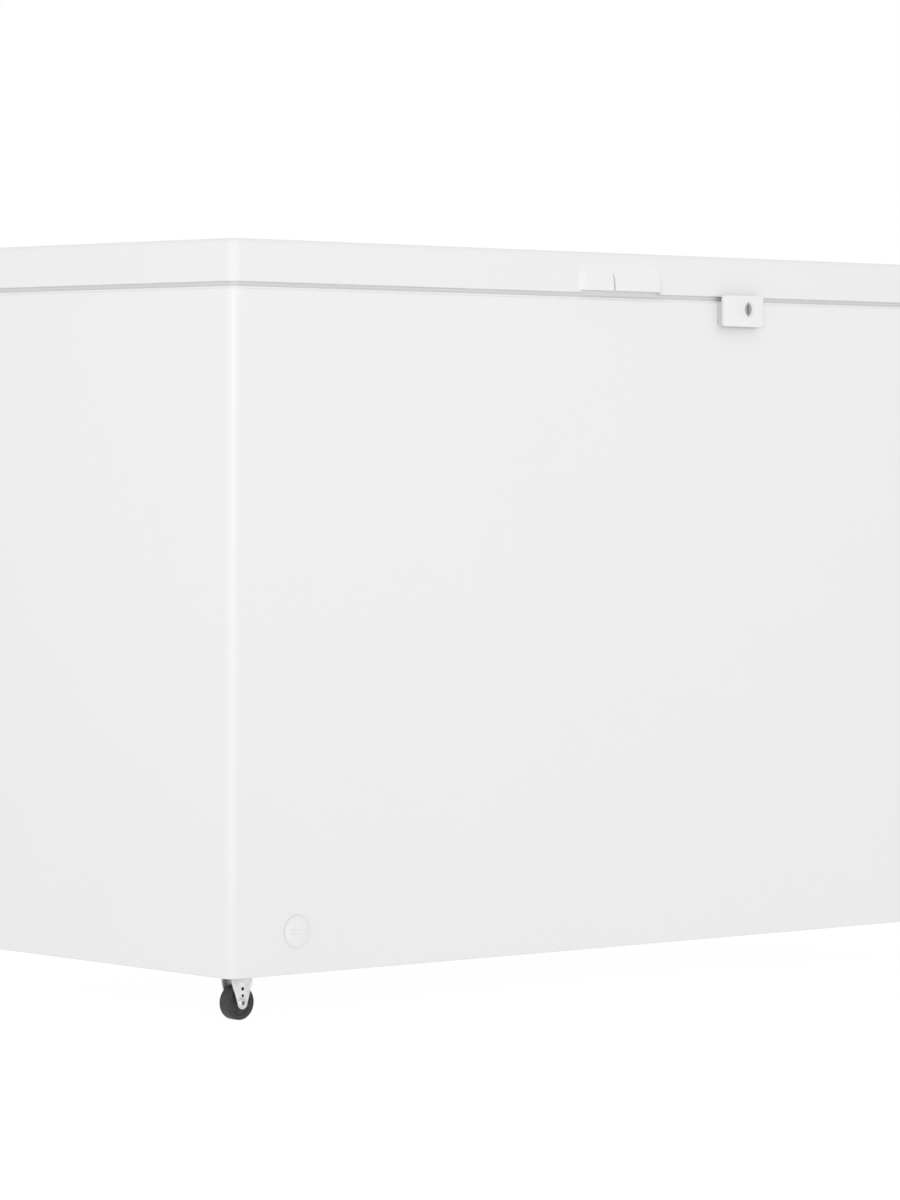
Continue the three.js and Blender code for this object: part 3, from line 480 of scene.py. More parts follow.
def cabinet_skin():
    """One wrapped sheet with a rolled top rim and a rolled bottom flange."""
    rim = arc((1.6, RIM - 1.6), 1.6, 60, 180)
    hem = arc((2.5, BASE + 2.5), 2.5, 180, 270)
    profile = rim + [(0.0, RIM - 60), (0.0, BASE + 60)] + hem + [(16.0, BASE)]
    skin = thicken(band("cabinet_skin", SHELL, CORNER, profile), SHELL_SHEET * MM)
    low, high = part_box("side_grille")
    flange = GRILLE_FLANGE * MM
    opening = block("opening", (high.x - 0.02, low.y + flange, low.z + flange),
                    (high.x + 0.02, high.y - flange, high.z - flange))
    drain_low, drain_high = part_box("drain_outlet")
    drain = (drain_low + drain_high) / 2
    hole = turned("hole", [(DRAIN_HOLE, -20), (DRAIN_HOLE, 20)], (drain.x, SHELL[0].y, drain.z), TO_FRONT)
    gland_low, gland_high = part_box("cord_gland")
    gland = (gland_low + gland_high) / 2
    cord_hole = turned("cord_hole", [(GLAND_HOLE, -20), (GLAND_HOLE, 20)], (gland.x, SHELL[1].y, gland.z),
                       TO_BACK)
    carve(skin, opening, hole, cord_hole)
    dress(skin, "cabinet_paint", "cabinet", "outer_shell")


def rim_frame():
    """The moulded frame between shell and liner: a bead along its outer edge, and a seat for the gasket."""
    top = RIM
    wall = 62.0
    profile = [(1.55, top - 2.6), (1.55, top + 1.2)]
    profile += arc((2.65, top + 1.2), 1.1, 165, 15, 5)
    profile += [(3.75, top + 1.2), (3.8, top)]
    profile += [(25.0, top, 15.0), (26.0, top, 14.0), (26.8, top - 0.8, 13.2), (29.0, top - 0.8, 11.0)]
    profile += [(29.8, top, 10.2), (31.0, top, 9.0), (wall, top, 25.0)]
    profile += [(u, v, 25.0 + wall - u) for u, v in arc((wall + 1.0, top - 2.0), 2.0, 90, 0)]
    profile += [(wall + 3.0, top - 17.4, 22.0), (wall + 2.4, top - 18.0, 22.0)]
    profile += [(wall + 0.5, top - 18.0, 24.0), (wall + 0.5, top - 2.6, 24.0)]
    rim = band("rim_frame", SHELL, CORNER, profile, wrap=True)
    dress(rim, "white_plastic", "cabinet", "top_breaker_frame")


def liner_skin():
    """The embossed liner: a deep bin with a rolled floor edge and the step over the compressor bay.

    The step's nose has a small radius, so that the sharp foam behind it stays covered.
    """
    low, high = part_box("inner_liner")
    sheet = LINER_SHEET
    floor = low.z / MM + sheet
    fillet = 12.0
    bottom = [(u, v, 25.0 - u + sheet) for u, v in arc((fillet + sheet, floor + fillet), fillet, 270, 180)]
    room = band("liner_skin", (low, high), 26.0, bottom + [(sheet, high.z / MM, 25.0)],
                first_cap=True, last_cap=True)
    bay_low, bay_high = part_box("machine_bulkhead")
    step_x, step_z = bay_low.x - STEP_FOAM * MM, bay_high.z + STEP_FOAM * MM
    carve(room, block("step", (step_x, low.y - 0.1, low.z - 0.1), (high.x + 0.1, high.y + 0.1, step_z)))
    made = bmesh.new()
    made.from_mesh(room.data)

    def on_nose(vertex):
        return abs(vertex.co.x - step_x) < MM and abs(vertex.co.z - step_z) < MM

    nose = [edge for edge in made.edges if all(on_nose(vertex) for vertex in edge.verts)]
    bmesh.ops.bevel(made, geom=nose, offset=NOSE_RADIUS * MM, segments=5, profile=0.5, affect="EDGES")
    lid_faces = [f for f in made.faces if f.calc_center_median().z > high.z - 0.1 * MM]
    bmesh.ops.delete(made, geom=lid_faces, context="FACES")
    made.to_mesh(room.data)
    made.free()
    thicken(room, sheet * MM, 1.0)
    bung_low, bung_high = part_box("drain_bung")
    bung = (bung_low + bung_high) / 2
    carve(room, turned("drain_hole", [(BUNG_HOLE, -10), (BUNG_HOLE, 10)], (bung.x, bung.y, floor * MM)))
    dress(room, "liner_paint", "cabinet", "inner_liner")


# ---- lid ------------------------------------------------------------------------------------------------

SHOULDER = 9.0
LID_SHEET = 1.2
LIP_END = 14.0
NOTCH_INSET = 8.0
NOTCH_DEPTH = 5.0
GROOVE_X = -14.0
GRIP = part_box("lid_grip")


def lid_skin():
    """The lid's cover: a rounded shoulder, a flat top, and a turned-in lower edge with the finger notch."""
    bottom, top = LID[0].z / MM, LID[1].z / MM
    hem = arc((1.6, bottom + 1.6), 1.6, 270, 180)
    shoulder = arc((SHOULDER, top - SHOULDER), SHOULDER, 180, 90, 8)
    profile = [(u, v, max(CORNER - u, 3.2)) for u, v in hem + shoulder]
    skin = band("lid_skin", LID, CORNER, profile, last_cap=True)
    thicken(skin, LID_SHEET * MM)
    carve(skin, notch_cutter())
    # The lid takes the cabinet's paint made a touch darker: painted shade.
    dress(skin, "cabinet_paint", "lid", "lid_outer", material=LID_PAINT_PAINTED_SHADE)


def notch_cutter():
    """The room for fingertips behind the pull lip."""
    low, high = GRIP
    return block("notch", (low.x + NOTCH_INSET * MM, LID[0].y - 0.01, LID[0].z - 0.01),
                 (high.x - NOTCH_INSET * MM, LID[0].y + NOTCH_DEPTH * MM, low.z))


def lid_panel():
    """The lid's inner panel: a flat border, and a raised middle with two shallow channels round it."""
    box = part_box("lid_inner")
    raised = box[0].z / MM
    border, thick, edge = raised + 5.0, 2.0, 105.2
    under = [(edge + 88.0, raised, 20.0)]
    for start in (edge + 60.0, edge + 34.0):
        under += [(start + 12, raised, 22.0), (start + 9, raised + 1.4, 22.0)]
        under += [(start + 3, raised + 1.4, 24.0), (start, raised, 24.0)]
    under += [(u, v, 30.0) for u, v in arc((edge + 4.0, raised + 3.0), 3.0, 270, 180, 5)]
    under += [(edge - 1.0, border, 32.0), (edge - 3.0, border, 34.0), (20.0, border, 12.0)]
    under += [(0.0, border, CORNER - 1.8)]
    over = [(0.0, border + thick, CORNER - 1.8), (edge + 1.0, border + thick, 28.0)]
    over += [(edge + 3.0, raised + thick, 28.0), (edge + 88.0, raised + thick, 20.0)]
    panel = band("lid_panel", box, CORNER, under + over, first_cap=True, last_cap=True)
    carve(panel, notch_cutter())
    dress(panel, "white_plastic", "lid", "lid_inner")


def seal():
    """The gasket: a magnet pocket at the foot, and a bellows with one soft fold above it."""
    low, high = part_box("lid_gasket")
    z, height, width = low.z / MM, (high.z - low.z) / MM, 14.0
    half = [(1.2, 0.05), (0.4, 0.3), (0.0, 0.9), (0.0, 2.4), (0.4, 3.1), (0.05, 3.9), (0.0, 5.2)]
    half += [(0.0, height - 0.02)]
    outer = [(u, z + v, 8.0) for u, v in half]
    inner = [(width - u, z + v, 8.0) for u, v in reversed(half)]
    dress(band("seal", (low, high), 8.0, outer + inner, wrap=True), "gasket_rubber", "lid", "lid_gasket")


def pull_lip():
    """The lip that swells out of the lid's front towards its lower edge, with an upright groove."""
    low, high = GRIP
    root = LID[0].y + 0.3 * MM
    proud, height = root - low.y, high.z - low.z
    section = [(0.0, 6.5 * MM), (2.6 * MM, 1.6 * MM), (proud - 0.8 * MM, 0.1 * MM), (proud - 0.3 * MM, 0.0)]
    section += [(proud - 0.05 * MM, 0.4 * MM), (proud, 1.4 * MM)]
    for step in range(1, 9):
        t = step / 8
        section.append((proud * (1 - t) ** 2 * (1 + 2 * t), 1.4 * MM + (height - 1.4 * MM) * t))
    rings = []
    steps = 70
    for i in range(steps + 1):
        x = low.x + (high.x - low.x) * i / steps
        reach = min(x - low.x, high.x - x) / (LIP_END * MM)
        swell = max(0.5 - 0.5 * math.cos(math.pi * min(reach, 1.0)), 0.02)
        rings.append([Vector((x, root - out * swell, low.z + up)) for out, up in section])
    lip = loft("pull_lip", rings, first_cap=True, last_cap=True)
    foot, top = low.z - 10 * MM, low.z + 20 * MM
    front, floor = low.y - 10 * MM, LID[0].y - 0.3 * MM
    groove = []
    for z, half in ((foot, 2.2 * MM), (low.z, 2.0 * MM), (top, 0.6 * MM)):
        x0, x1 = GROOVE_X * MM - half, GROOVE_X * MM + half
        corners = ((x0, front), (x1, front), (x1, floor), (x0, floor))
        groove.append([Vector((x, y, z)) for x, y in corners])
    carve(lip, loft("groove", groove, first_cap=True, last_cap=True))
    dress(lip, "white_plastic", "lid", "lid_grip")
    ends = (low.x + (NOTCH_INSET + 0.1) * MM, high.x - (NOTCH_INSET + 0.1) * MM)
    face, back = LID[0].y + 0.2 * MM, LID[0].y + (NOTCH_DEPTH - 0.1) * MM
    roof, edge, thick = low.z - 0.05 * MM, LID[0].z + 0.1 * MM, 0.5 * MM
    outline = [(face, roof), (face, roof - thick), (back - thick, roof - thick), (back - thick, edge)]
    outline += [(back, edge), (back, roof)]
    dress(plate("notch_lining", outline, *ends), "white_plastic", "lid")


# ---- lock -----------------------------------------------------------------------------------------------

def lens(place, half_width, half_height, points=28):
    """A pointed upright oval in the X-Z plane."""
    ring = []
    for i in range(points):
        angle = 2 * math.pi * i / points
        side = math.cos(angle)
        x = half_width * side * abs(side) ** 0.6
        ring.append(Vector(place) + Vector((x * MM, 0.0, half_height * math.sin(angle) * MM)))
    return ring


LOCK_SLOT = 2.6
CHEEK_DEPTH = 0.7
CORE_RADIUS = 9.26
# The size of the grey inset of painted shade round the key slot.
KEY_PLATE_PAINTED_SHADE_SIZE = (5.3, 8.0)
KEYWAY_SIZE = (1.2, 5.2)


def lock_housing():
    """The housing: a slot in each side at the gap's height, and a grey cheek let in below it."""
    housing = refined("lock_housing", "white_plastic", "lid", 0.9)
    low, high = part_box("lock_housing")
    front, back = low.y + 2.6 * MM, SHELL[0].y - 0.4 * MM
    foot, top = low.z + 1.0 * MM, RIM * MM + 1.2 * MM
    play = 0.05 * MM
    cuts = []
    for side, edge, inward in (("left", low.x, MM), ("right", high.x, -MM)):
        cuts.append(block("slot", (edge - LOCK_SLOT * MM, low.y + 4 * MM, top),
                          (edge + LOCK_SLOT * MM, SHELL[0].y, LID[0].z + 0.3 * MM)))
        cuts.append(block("recess", (edge - inward, front, foot),
                          (edge + CHEEK_DEPTH * inward, SHELL[0].y + 2 * MM, top)))
        cheek = block(f"lock_cheek_{side}", (edge + 0.06 * inward, front + play, foot + play),
                      (edge + (CHEEK_DEPTH - 0.04) * inward, back, top - play))
        dress(cheek, "knob_plastic", "lid")
    carve(housing, *cuts)
    smooth(housing.data)


def lock():
    """The lock's core with a funnelled key slot, and its cam and strike."""
    low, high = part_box("lock_cylinder")
    middle = (low + high) / 2
    length = (high.y - low.y) / MM
    profile = [(0.0, 0.0), (3.0, 0.0), (3.0, 3.2), (9.0, 3.4), (CORE_RADIUS, 3.8)]
    profile += [(CORE_RADIUS, length - 0.25), (9.1, length), (0.0, length)]
    core = turned("lock_core_face", profile, (middle.x, high.y, middle.z), TO_FRONT, 48)
    funnel = []
    for depth, width, height in ((-1.0, 5.7, 8.4), (0.0, 5.55, 8.25), (3.0, 5.4, 8.1)):
        funnel.append(lens((middle.x, low.y + depth * MM, middle.z), width, height))
    carve(core, loft("funnel", funnel, first_cap=True, last_cap=True))
    dress(core, "lock_metal", "lock_core", "lock_cylinder")
    # A grey inset filling the funnel, with the keyway cut through it: its grey is painted shade of the
    # recessed slot.
    inset = [lens((middle.x, low.y + depth * MM, middle.z), *KEY_PLATE_PAINTED_SHADE_SIZE) for depth in (0.2, 2.9)]
    key_plate_painted_shade = loft("key_plate_painted_shade", inset, first_cap=True, last_cap=True)
    half_x, half_z = (size * MM for size in KEYWAY_SIZE)
    carve(key_plate_painted_shade, block("keyway", (middle.x - half_x, low.y, middle.z - half_z),
                           (middle.x + half_x, low.y + 2.6 * MM, middle.z + half_z)))
    dress(key_plate_painted_shade, "lock_metal", "lock_core", material=KEY_PLATE_PAINTED_SHADE)
    refined("lock_cam", "zinc_steel", "lock_core", 0.25)
    refined("lock_strike", "zinc_steel", "cabinet", 0.2)


# ---- drain ----------------------------------------------------------------------------------------------

CAP_RADIUS = 18


def drain_parts():
    """The domed screw cap with its grip bar, and the outlet, bung and tube behind it."""
    low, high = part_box("drain_cap")
    middle = (low + high) / 2
    depth = (high.y - low.y) / MM
    crown = depth - 1.0
    profile = [(0.0, 2.4), (9.4, 2.4), (9.4, 0.0), (17.3, 0.0), (17.3, -1.7), (17.95, -1.7), (17.95, -1.4)]
    rounding = (0.99, 0.96, 0.9, 0.8, 0.68, 0.5, 0.3)
    profile += [(CAP_RADIUS * r, crown - (crown + 1.2) * r ** 4) for r in rounding]
    profile += [(0.0, crown)]
    cap = turned("disc", profile, (middle.x, high.y, middle.z), TO_FRONT, 64)
    grip = block("grip", (middle.x - 12 * MM, low.y, middle.z - 2.0 * MM),
                 (middle.x + 12 * MM, low.y + 3.4 * MM, middle.z + 2.0 * MM))
    bevelled(grip, 1.1 * MM, 4)
    dress(joined("drain_cap_fine", [cap, grip]), "white_plastic", "drain_cap", "drain_cap")
    refined("drain_outlet", "white_plastic", "cabinet", 0.4)
    refined("drain_bung", "bung_rubber", "drain_bung", 0.5)
    refined("drain_tube", "drain_plastic", "cabinet", 0.2)


# ---- casters --------------------------------------------------------------------------------------------

SPOKES = 6


def caster(end, side):
    """A ribbed wheel, its bracket with two holes, the riveted axle and the bracket's two screws."""
    name = f"caster_{end}_{side}"
    low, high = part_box(name + "_wheel")
    centre = (low + high) / 2
    half = (high.y - low.y) / 2 / MM
    radius = (high.z - low.z) / 2 / MM
    profile = [(3.5, -half), (6.4, -half), (7.2, 0.9 - half), (13.4, 1.4 - half), (14.2, 0.4 - half)]
    profile += [(15.0, -half), (radius - 1.8, -half)]
    profile += arc((radius - 1.8, 1.8 - half), 1.8, -90, 0, 5)
    other = [(r, -h) for r, h in reversed(profile)]
    wheel = turned(name + "_tread", profile + other + [profile[0]], centre, TO_FRONT, 64)
    spokes = []
    depth = half - 0.7
    for i in range(SPOKES):
        angle = 2 * math.pi * i / SPOKES
        rib = block("rib", (6.0 * MM, -0.7 * MM, -depth * MM), (14.4 * MM, 0.7 * MM, depth * MM))
        bevelled(rib, 0.3 * MM)
        rib.matrix_basis = Matrix.Translation(centre) @ TO_FRONT @ Matrix.Rotation(angle, 4, "Z")
        spokes.append(rib)
    dress(joined(name + "_wheel_fine", [wheel, *spokes]), "black_rubber", name + "_wheel", name + "_wheel")
    bracket = refined(name + "_bracket", "zinc_steel", "cabinet", 0.6)
    holes = []
    for up, size in ((8.0, 1.7), (15.5, 2.0)):
        place = centre + Vector((0, 0, up * MM))
        holes.append(turned("hole", [(size, -20), (size, 20)], place, TO_FRONT, 20))
    carve(bracket, *holes)
    smooth(bracket.data)
    low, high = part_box(name + "_axle")
    length = (high.y - low.y) / MM / 2
    head = [(0.0, length - 6.0), (2.0, length - 6.0), (2.1, length - 0.5), (2.9, length)]
    head += [(4.2, length - 0.4), (5.4, length - 1.5), (3.0, length - 1.6)]
    both = head + [(r, -h) for r, h in reversed(head)]
    rivet = turned(name + "_rivet", both, (low + high) / 2, TO_FRONT, 32)
    dress(rivet, "zinc_steel", "cabinet", name + "_axle")
    low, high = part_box(name + "_bracket")
    for letter, dx in (("a", -8.5), ("b", 8.5)):
        place = ((low.x + high.x) / 2 + dx * MM, (low.y + high.y) / 2, high.z - 2.0 * MM)
        screw(f"{name}_screw_{letter}", place, DOWN, "cabinet", SMALL_SCREW)


# ---- screws ---------------------------------------------------------------------------------------------

SMALL_SCREW = 2.6
LARGE_SCREW = 4.0
SCREW_MESHES = {}


def screw(name, place, turn, body, radius):
    """A pan-head screw with a cross recess. The head stands on place and points where turn points +Z."""
    if radius not in SCREW_MESHES:
        dome = [(0.0, -1.0), (radius, -1.0), (radius, 0.25 * radius)]
        dome += [(radius * math.cos(a), (0.25 + 0.3 * math.sin(a)) * radius) for a in (0.4, 0.8, 1.15)]
        dome += [(0.0, 0.55 * radius)]
        head = turned("screw_head", dome, (0, 0, 0), UP, 28)
        arm, width, top = 0.55 * radius * MM, 0.13 * radius * MM, radius * MM
        floor = 0.2 * radius * MM
        first = block("arm", (-arm, -width, floor), (arm, width, top))
        second = block("arm", (-width, -arm, floor), (width, arm, top))
        carve(head, first, second)
        SCREW_MESHES[radius] = head.data
        bpy.data.objects.remove(head)
    thing = bpy.data.objects.new(name, SCREW_MESHES[radius].copy())
    bpy.context.collection.objects.link(thing)
    thing.data.transform(Matrix.Translation(place) @ turn)
    return dress(thing, "zinc_steel", body)


# ---- hinges ---------------------------------------------------------------------------------------------

def hinge(side):
    """The two leaves and the pin, with four screws into the cabinet and two into the lid."""
    name = f"hinge_{side}"
    refined(name + "_cabinet_leaf", "zinc_steel", "cabinet", 0.5)
    refined(name + "_lid_leaf", "zinc_steel", "lid", 0.5)
    refined(name + "_pin", "zinc_steel", "cabinet", 0.5)
    low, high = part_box(name + "_cabinet_leaf")
    middle = (low.x + high.x) / 2
    face = SHELL[1].y + 2.1 * MM
    for i, (dx, dz) in enumerate(((-17, 14), (17, 14), (-17, 60), (17, 60))):
        place = (middle + dx * MM, face, low.z + dz * MM)
        screw(f"{name}_screw_{i + 1}", place, TO_BACK, "cabinet", LARGE_SCREW)
    low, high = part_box(name + "_lid_leaf")
    for i, dx in enumerate((-12, 12)):
        place = (middle + dx * MM, face, high.z - 9 * MM)
        screw(f"{name}_lid_screw_{i + 1}", place, TO_BACK, "lid", LARGE_SCREW)


# ---- right side -----------------------------------------------------------------------------------------

LOUVRES = 11
LOUVRE_PITCH = 15.5
LOUVRE_TILT = 38
DIAL_RADIUS = 31


def grille():
    """The side grille: a framed panel with slanting louvres and a dish for the thermostat's knob."""
    low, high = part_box("side_grille")
    flange = GRILLE_FLANGE * MM
    y0, y1, z0, z1 = low.y + flange, high.y - flange, low.z + flange, high.z - flange
    gap = 0.4 * MM
    panel = block("panel", (high.x - 4 * MM, y0 + gap, z0 + gap), (high.x - 0.8 * MM, y1 - gap, z1 - gap))
    bevelled(panel, 0.8 * MM, 3)
    margin = Vector((0.0, 0.6 * MM, 0.6 * MM))
    near, far = (high.x - 3.8 * MM, *(low + margin).yz), (high.x - 1.6 * MM, *(high - margin).yz)
    carve(panel, block("flange", near, far), operation="UNION")
    knob_low, knob_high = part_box("thermostat_knob")
    knob = (knob_low + knob_high) / 2
    lamp_low, lamp_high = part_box("power_lamp")
    light = (lamp_low + lamp_high) / 2
    slots, blades = [], []
    slot_low, slot_high = -66 * MM + (low.y + high.y) / 2, y1 - 20 * MM
    for i in range(LOUVRES):
        z = z0 + (18 + LOUVRE_PITCH * i) * MM
        slots.append(block("slot", (high.x - 0.02, slot_low, z), (high.x + 0.01, slot_high, z + 8 * MM)))
        blade = block("blade", (-6 * MM, slot_low - MM, -0.7 * MM), (6 * MM, slot_high + MM, 0.7 * MM))
        bevelled(blade, 0.3 * MM)
        tilt = Matrix.Rotation(math.radians(LOUVRE_TILT), 4, "Y")
        blade.matrix_basis = Matrix.Translation((high.x - 7 * MM, 0, z + 4.5 * MM)) @ tilt
        blades.append(blade)
    bowl = turned("bowl", [(23.0, -30), (23.0, 10)], (high.x, knob.y, knob.z), TO_X, 48)
    lamp_hole = turned("lamp_hole", [(5.3, -30), (5.3, 10)], (high.x, light.y, light.z), TO_X, 32)
    carve(panel, bowl, lamp_hole, *slots)
    dish = [(4.2, -13.0), (25.0, -13.0), (25.0, -2.5), (23.0, -1.0), (23.0, -10.2), (21.5, -11.0)]
    dish += [(4.2, -11.0), (4.2, -13.0)]
    cup = turned("cup", dish, (high.x, knob.y, knob.z), TO_X, 48)
    dress(joined("grille_panel", [panel, cup, *blades]), "white_plastic", "cabinet", "side_grille")
    for i, (y, z) in enumerate(((y0 + 10 * MM, z0 + 9 * MM), (y1 - 10 * MM, z0 + 9 * MM),
                                (y0 + 10 * MM, z1 - 9 * MM), (y1 - 10 * MM, z1 - 9 * MM))):
        screw(f"grille_screw_{i + 1}", (high.x - 1.5 * MM, y, z), TO_X, "cabinet", SMALL_SCREW)
    dial_marks(knob, high.x - 0.78 * MM)


def dial_marks(knob, face):
    """Numbers 0 to 7, clockwise round the knob's dish. The knob rests at 7 and turns back to 0."""
    upright = Matrix(((0, 0, 1, 0), (1, 0, 0, 0), (0, 1, 0, 0), (0, 0, 0, 1)))
    for i in range(8):
        angle = math.radians(180 - 270 * i / 7)
        across, up = DIAL_RADIUS * MM * math.cos(angle), DIAL_RADIUS * MM * math.sin(angle)
        place = (face, knob.y + across, knob.z + up)
        text = bpy.data.curves.new(f"dial_mark_{i}", "FONT")
        text.body = str(i)
        text.size = 7 * MM
        text.extrude = 0.04 * MM
        text.align_x = text.align_y = "CENTER"
        text.materials.append(INK)
        mark = bpy.data.objects.new(f"dial_mark_{i}", text)
        bpy.context.collection.objects.link(mark)
        mark.matrix_basis = Matrix.Translation(place) @ upright
        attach(mark, "cabinet")


def knob_and_lamp():
    """A toothed disc with a grip bar and a pointer line across its lower end, and the lamp's dome."""
    low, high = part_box("thermostat_knob")
    middle = (low + high) / 2
    disc = [(0.0, 0.0), (19.4, 0.0), (20.0, 0.6), (20.0, 3.0), (19.0, 4.6), (17.0, 5.2), (0.0, 5.4)]
    base = turned("disc", disc, (low.x, middle.y, middle.z), TO_X, 56)
    bar = block("bar", (low.x + 4 * MM, middle.y - 4.6 * MM, middle.z - 16.5 * MM),
                (high.x - 0.25 * MM, middle.y + 4.6 * MM, middle.z + 16.5 * MM))
    bevelled(bar, 1.6 * MM, 4)
    teeth = []
    for i in range(30):
        angle = 2 * math.pi * i / 30
        place = (low.x, middle.y + 19.5 * MM * math.cos(angle), middle.z + 19.5 * MM * math.sin(angle))
        teeth.append(turned("tooth", [(0.0, 0.4), (0.5, 0.5), (0.5, 3.6), (0.0, 4.2)], place, TO_X, 8))
    dress(joined("knob_fine", [base, bar, *teeth]), "knob_plastic", "thermostat_knob", "thermostat_knob")
    pointer = block("pointer", (high.x - 0.6 * MM, middle.y - 0.8 * MM, middle.z - 14.5 * MM),
                    (high.x - 0.05 * MM, middle.y + 0.8 * MM, middle.z - 5 * MM))
    dress(bevelled(pointer, 0.1 * MM), "knob_plastic", "thermostat_knob", material=INK)
    low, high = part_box("power_lamp")
    middle = (low + high) / 2
    dome = [(0.0, 0.0), (4.0, 0.0), (4.0, 12.6), (5.0, 12.8), (5.0, 14.2)]
    dome += [(5.0 * math.cos(a), 14.2 + 1.6 * math.sin(a)) for a in (0.4, 0.8, 1.2)] + [(0.0, 15.8)]
    light = turned("lamp_lens", dome, (low.x, middle.y, middle.z), TO_X, 32)
    dress(light, "lamp_plastic", "cabinet", "power_lamp")


# ---- basket ---------------------------------------------------------------------------------------------

WIRE_TOP = 779
CROSS_RIBS = 15
LONG_RIBS = 9


def basket():
    """A welded wire basket on four hooked hangers, in the space of its CAD bin."""
    low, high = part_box("storage_basket")
    rim_top = high.z
    top = WIRE_TOP * MM
    y0, y1 = low.y + 28 * MM, high.y - 28 * MM
    x0, x1 = low.x, high.x
    thick, thin = 2.4 * MM, 1.5 * MM
    inset = 3 * MM
    pieces = []

    def loop(z, radius, draw_in):
        """A closed wire round the basket at one height, drawn in from its outline."""
        box = (Vector((x0 + draw_in, y0 + draw_in, 0)), Vector((x1 - draw_in, y1 - draw_in, 0)))
        return wire("loop", rounded_ring(*box, 0.0, 18 * MM, z, 6), radius, closed=True)

    bottom = low.z + thin + 0.5 * MM
    pieces += [loop(top, thick, thick), loop(top - 60 * MM, thin, inset), loop(top - 120 * MM, thin, inset)]
    pieces += [loop(bottom + 8 * MM, thick, inset + MM)]
    left, right = x0 + inset, x1 - inset
    for i in range(CROSS_RIBS):
        y = y0 + 22 * MM + (y1 - y0 - 44 * MM) * i / (CROSS_RIBS - 1)
        route = [(left, y, top), (left, y, bottom), (right, y, bottom), (right, y, top)]
        pieces.append(wire("rib", rounded_route([Vector(p) for p in route], 10 * MM, 4), thin, 8))
    front, back, z = y0 + inset + 2 * thin, y1 - inset - 2 * thin, bottom + 2 * thin
    for i in range(LONG_RIBS):
        x = x0 + 22 * MM + (x1 - x0 - 44 * MM) * i / (LONG_RIBS - 1)
        route = [(x, front, top), (x, front, z), (x, back, z), (x, back, top)]
        pieces.append(wire("rib", rounded_route([Vector(p) for p in route], 10 * MM, 4), thin, 8))
    strip = 1.6 * MM
    for side, edge, far in ((-1, y0, low.y), (1, y1, high.y)):
        near, tip, foot = edge - side * 0.4 * MM, far - side * 0.3 * MM, top - 5 * MM
        hook = [(near, foot), (near + side * strip, foot), (near + side * strip, rim_top - strip)]
        hook += [(tip, rim_top - strip), (tip, rim_top), (near, rim_top)]
        for x in (x0 + 48 * MM, x1 - 48 * MM):
            pieces.append(bevelled(plate("hanger", hook, x - 14 * MM, x + 14 * MM), 0.35 * MM))
    dress(joined("wire_basket", pieces), "basket_wire", "storage_basket", "storage_basket")


# ---- carried-over nodes ---------------------------------------------------------------------------------

def carry_over():
    """Rounds the plain inner pieces' edges, and gives every node its slot's material."""
    edges = {
        "relay_cover": 2.5, "thermostat_body": 1.2, "compressor": 1.2, "base_pan": 0.3,
        "compressor_plate": 0.3, "machine_bulkhead": 0.3, "filter_drier": 0.8, "cord_gland": 0.6,
    }
    slots = {row["node"]: row["material_slot"] for row in frame["record"]["subparts"]}
    for name, width in edges.items():
        refined(name, slots[name], "cabinet", width, 30)
    for i in range(4):
        refined(f"compressor_grommet_{i + 1}", "black_rubber", "cabinet", 0.6, 30)
    for name, thing in frame["nodes"].items():
        thing.data.materials.clear()
        thing.data.materials.append(MATERIALS[slots[name]])


# ---- stage ----------------------------------------------------------------------------------------------

FLOOR_GLOW = 0.92
LAMP_PLACE = (-7.6, -7.3, 1.9)
LAMP_TARGET = (0.52, 0.08, 1.45)
LAMP_CONE = 28.0
LAMP_POWER = 1000.0
LAMP_SIZE = 0.7


def floor():
    """A wide pale floor with a faint mottling."""
    thing = block("floor", (-14, -14, -0.02), (14, 14, 0.0))
    made, tree, shader = start_material("floor_pale")
    shade = blend_colours(tree, noise(tree, 3.0), (0.09, 0.09, 0.09), (0.11, 0.11, 0.11))
    tree.links.new(shade, shader.inputs["Base Color"])
    shader.inputs["Roughness"].default_value = 0.9
    shader.inputs["Specular IOR Level"].default_value = 0.1
    shader.inputs["Emission Color"].default_value = (1.0, 1.0, 1.0, 1.0)
    shader.inputs["Emission Strength"].default_value = FLOOR_GLOW
    thing.data.materials.append(made)


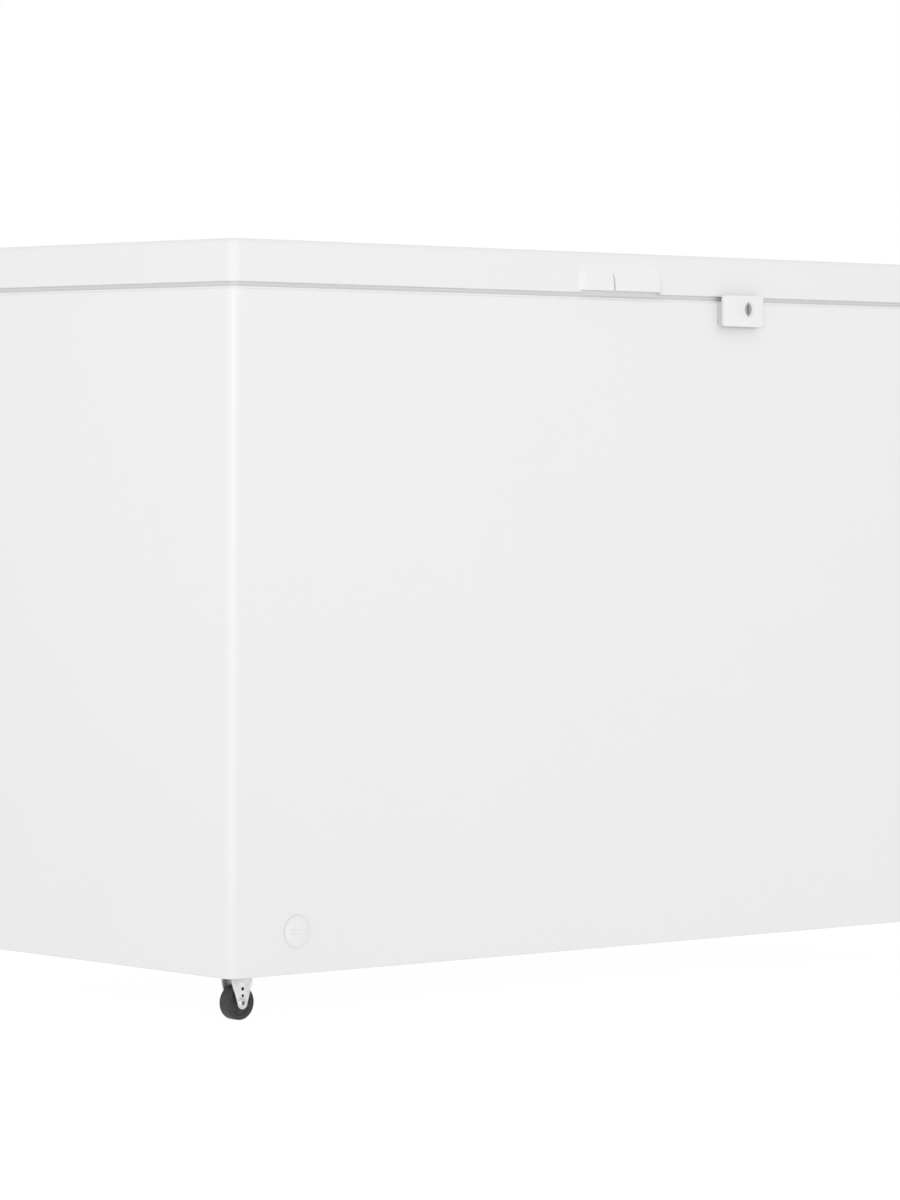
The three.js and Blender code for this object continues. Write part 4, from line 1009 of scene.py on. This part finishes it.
def lamp(name, place, target, cone, power, size):
    """A soft round lamp whose light fades out towards the edge of its cone."""
    data = bpy.data.lights.new(name, "SPOT")
    data.spot_size = math.radians(cone)
    data.spot_blend = 1.0
    data.shadow_soft_size = size
    data.energy = power
    made = bpy.data.objects.new(name, data)
    bpy.context.collection.objects.link(made)
    made.location = place
    made.rotation_mode = "QUATERNION"
    made.rotation_quaternion = (Vector(target) - Vector(place)).to_track_quat("-Z", "Y")


def studio():
    """An even white surround, and a distant soft lamp to the front left that fades towards the floor."""
    world = bpy.data.worlds.new("studio")
    world.use_nodes = True
    world.node_tree.nodes["Background"].inputs["Color"].default_value = (1.0, 1.0, 1.0, 1.0)
    world.node_tree.nodes["Background"].inputs["Strength"].default_value = 1.0
    bpy.context.scene.world = world
    lamp("corner_lamp", LAMP_PLACE, LAMP_TARGET, LAMP_CONE, LAMP_POWER, LAMP_SIZE)
    scene = bpy.context.scene
    scene.view_settings.view_transform = "Standard"
    scene.view_settings.look = "None"


# The camera stands to the front left, a little below the lid, and looks slightly down.
CAMERA_PLACE = Vector((-4.019, -4.498, 0.631))
CAMERA_YAW = 41.72
CAMERA_PITCH = 1.79
CAMERA_ROLL = 0.32
CAMERA_LENS = 151.0


def camera():
    """Places the camera from its yaw, pitch and roll."""
    yaw, pitch, roll = map(math.radians, (CAMERA_YAW, CAMERA_PITCH, CAMERA_ROLL))
    ahead = Vector((math.sin(yaw) * math.cos(pitch), math.cos(yaw) * math.cos(pitch), -math.sin(pitch)))
    right = Vector((math.cos(yaw), -math.sin(yaw), 0.0))
    up = right.cross(ahead)
    right, up = right * math.cos(roll) + up * math.sin(roll), up * math.cos(roll) - right * math.sin(roll)
    data = bpy.data.cameras.new("camera")
    data.lens = CAMERA_LENS
    data.sensor_width = 36.0
    eye = bpy.data.objects.new("camera", data)
    bpy.context.collection.objects.link(eye)
    eye.matrix_world = Matrix.Translation(CAMERA_PLACE) @ Matrix((right, up, -ahead)).transposed().to_4x4()
    bpy.context.scene.camera = eye


camera()
cabinet_skin()
rim_frame()
liner_skin()
lid_skin()
lid_panel()
seal()
pull_lip()
lock_housing()
lock()
drain_parts()
for end_name in ("front", "rear"):
    for side_name in ("left", "right"):
        caster(end_name, side_name)
for side_name in ("left", "right"):
    hinge(side_name)
grille()
knob_and_lamp()
basket()
carry_over()
floor()
studio()
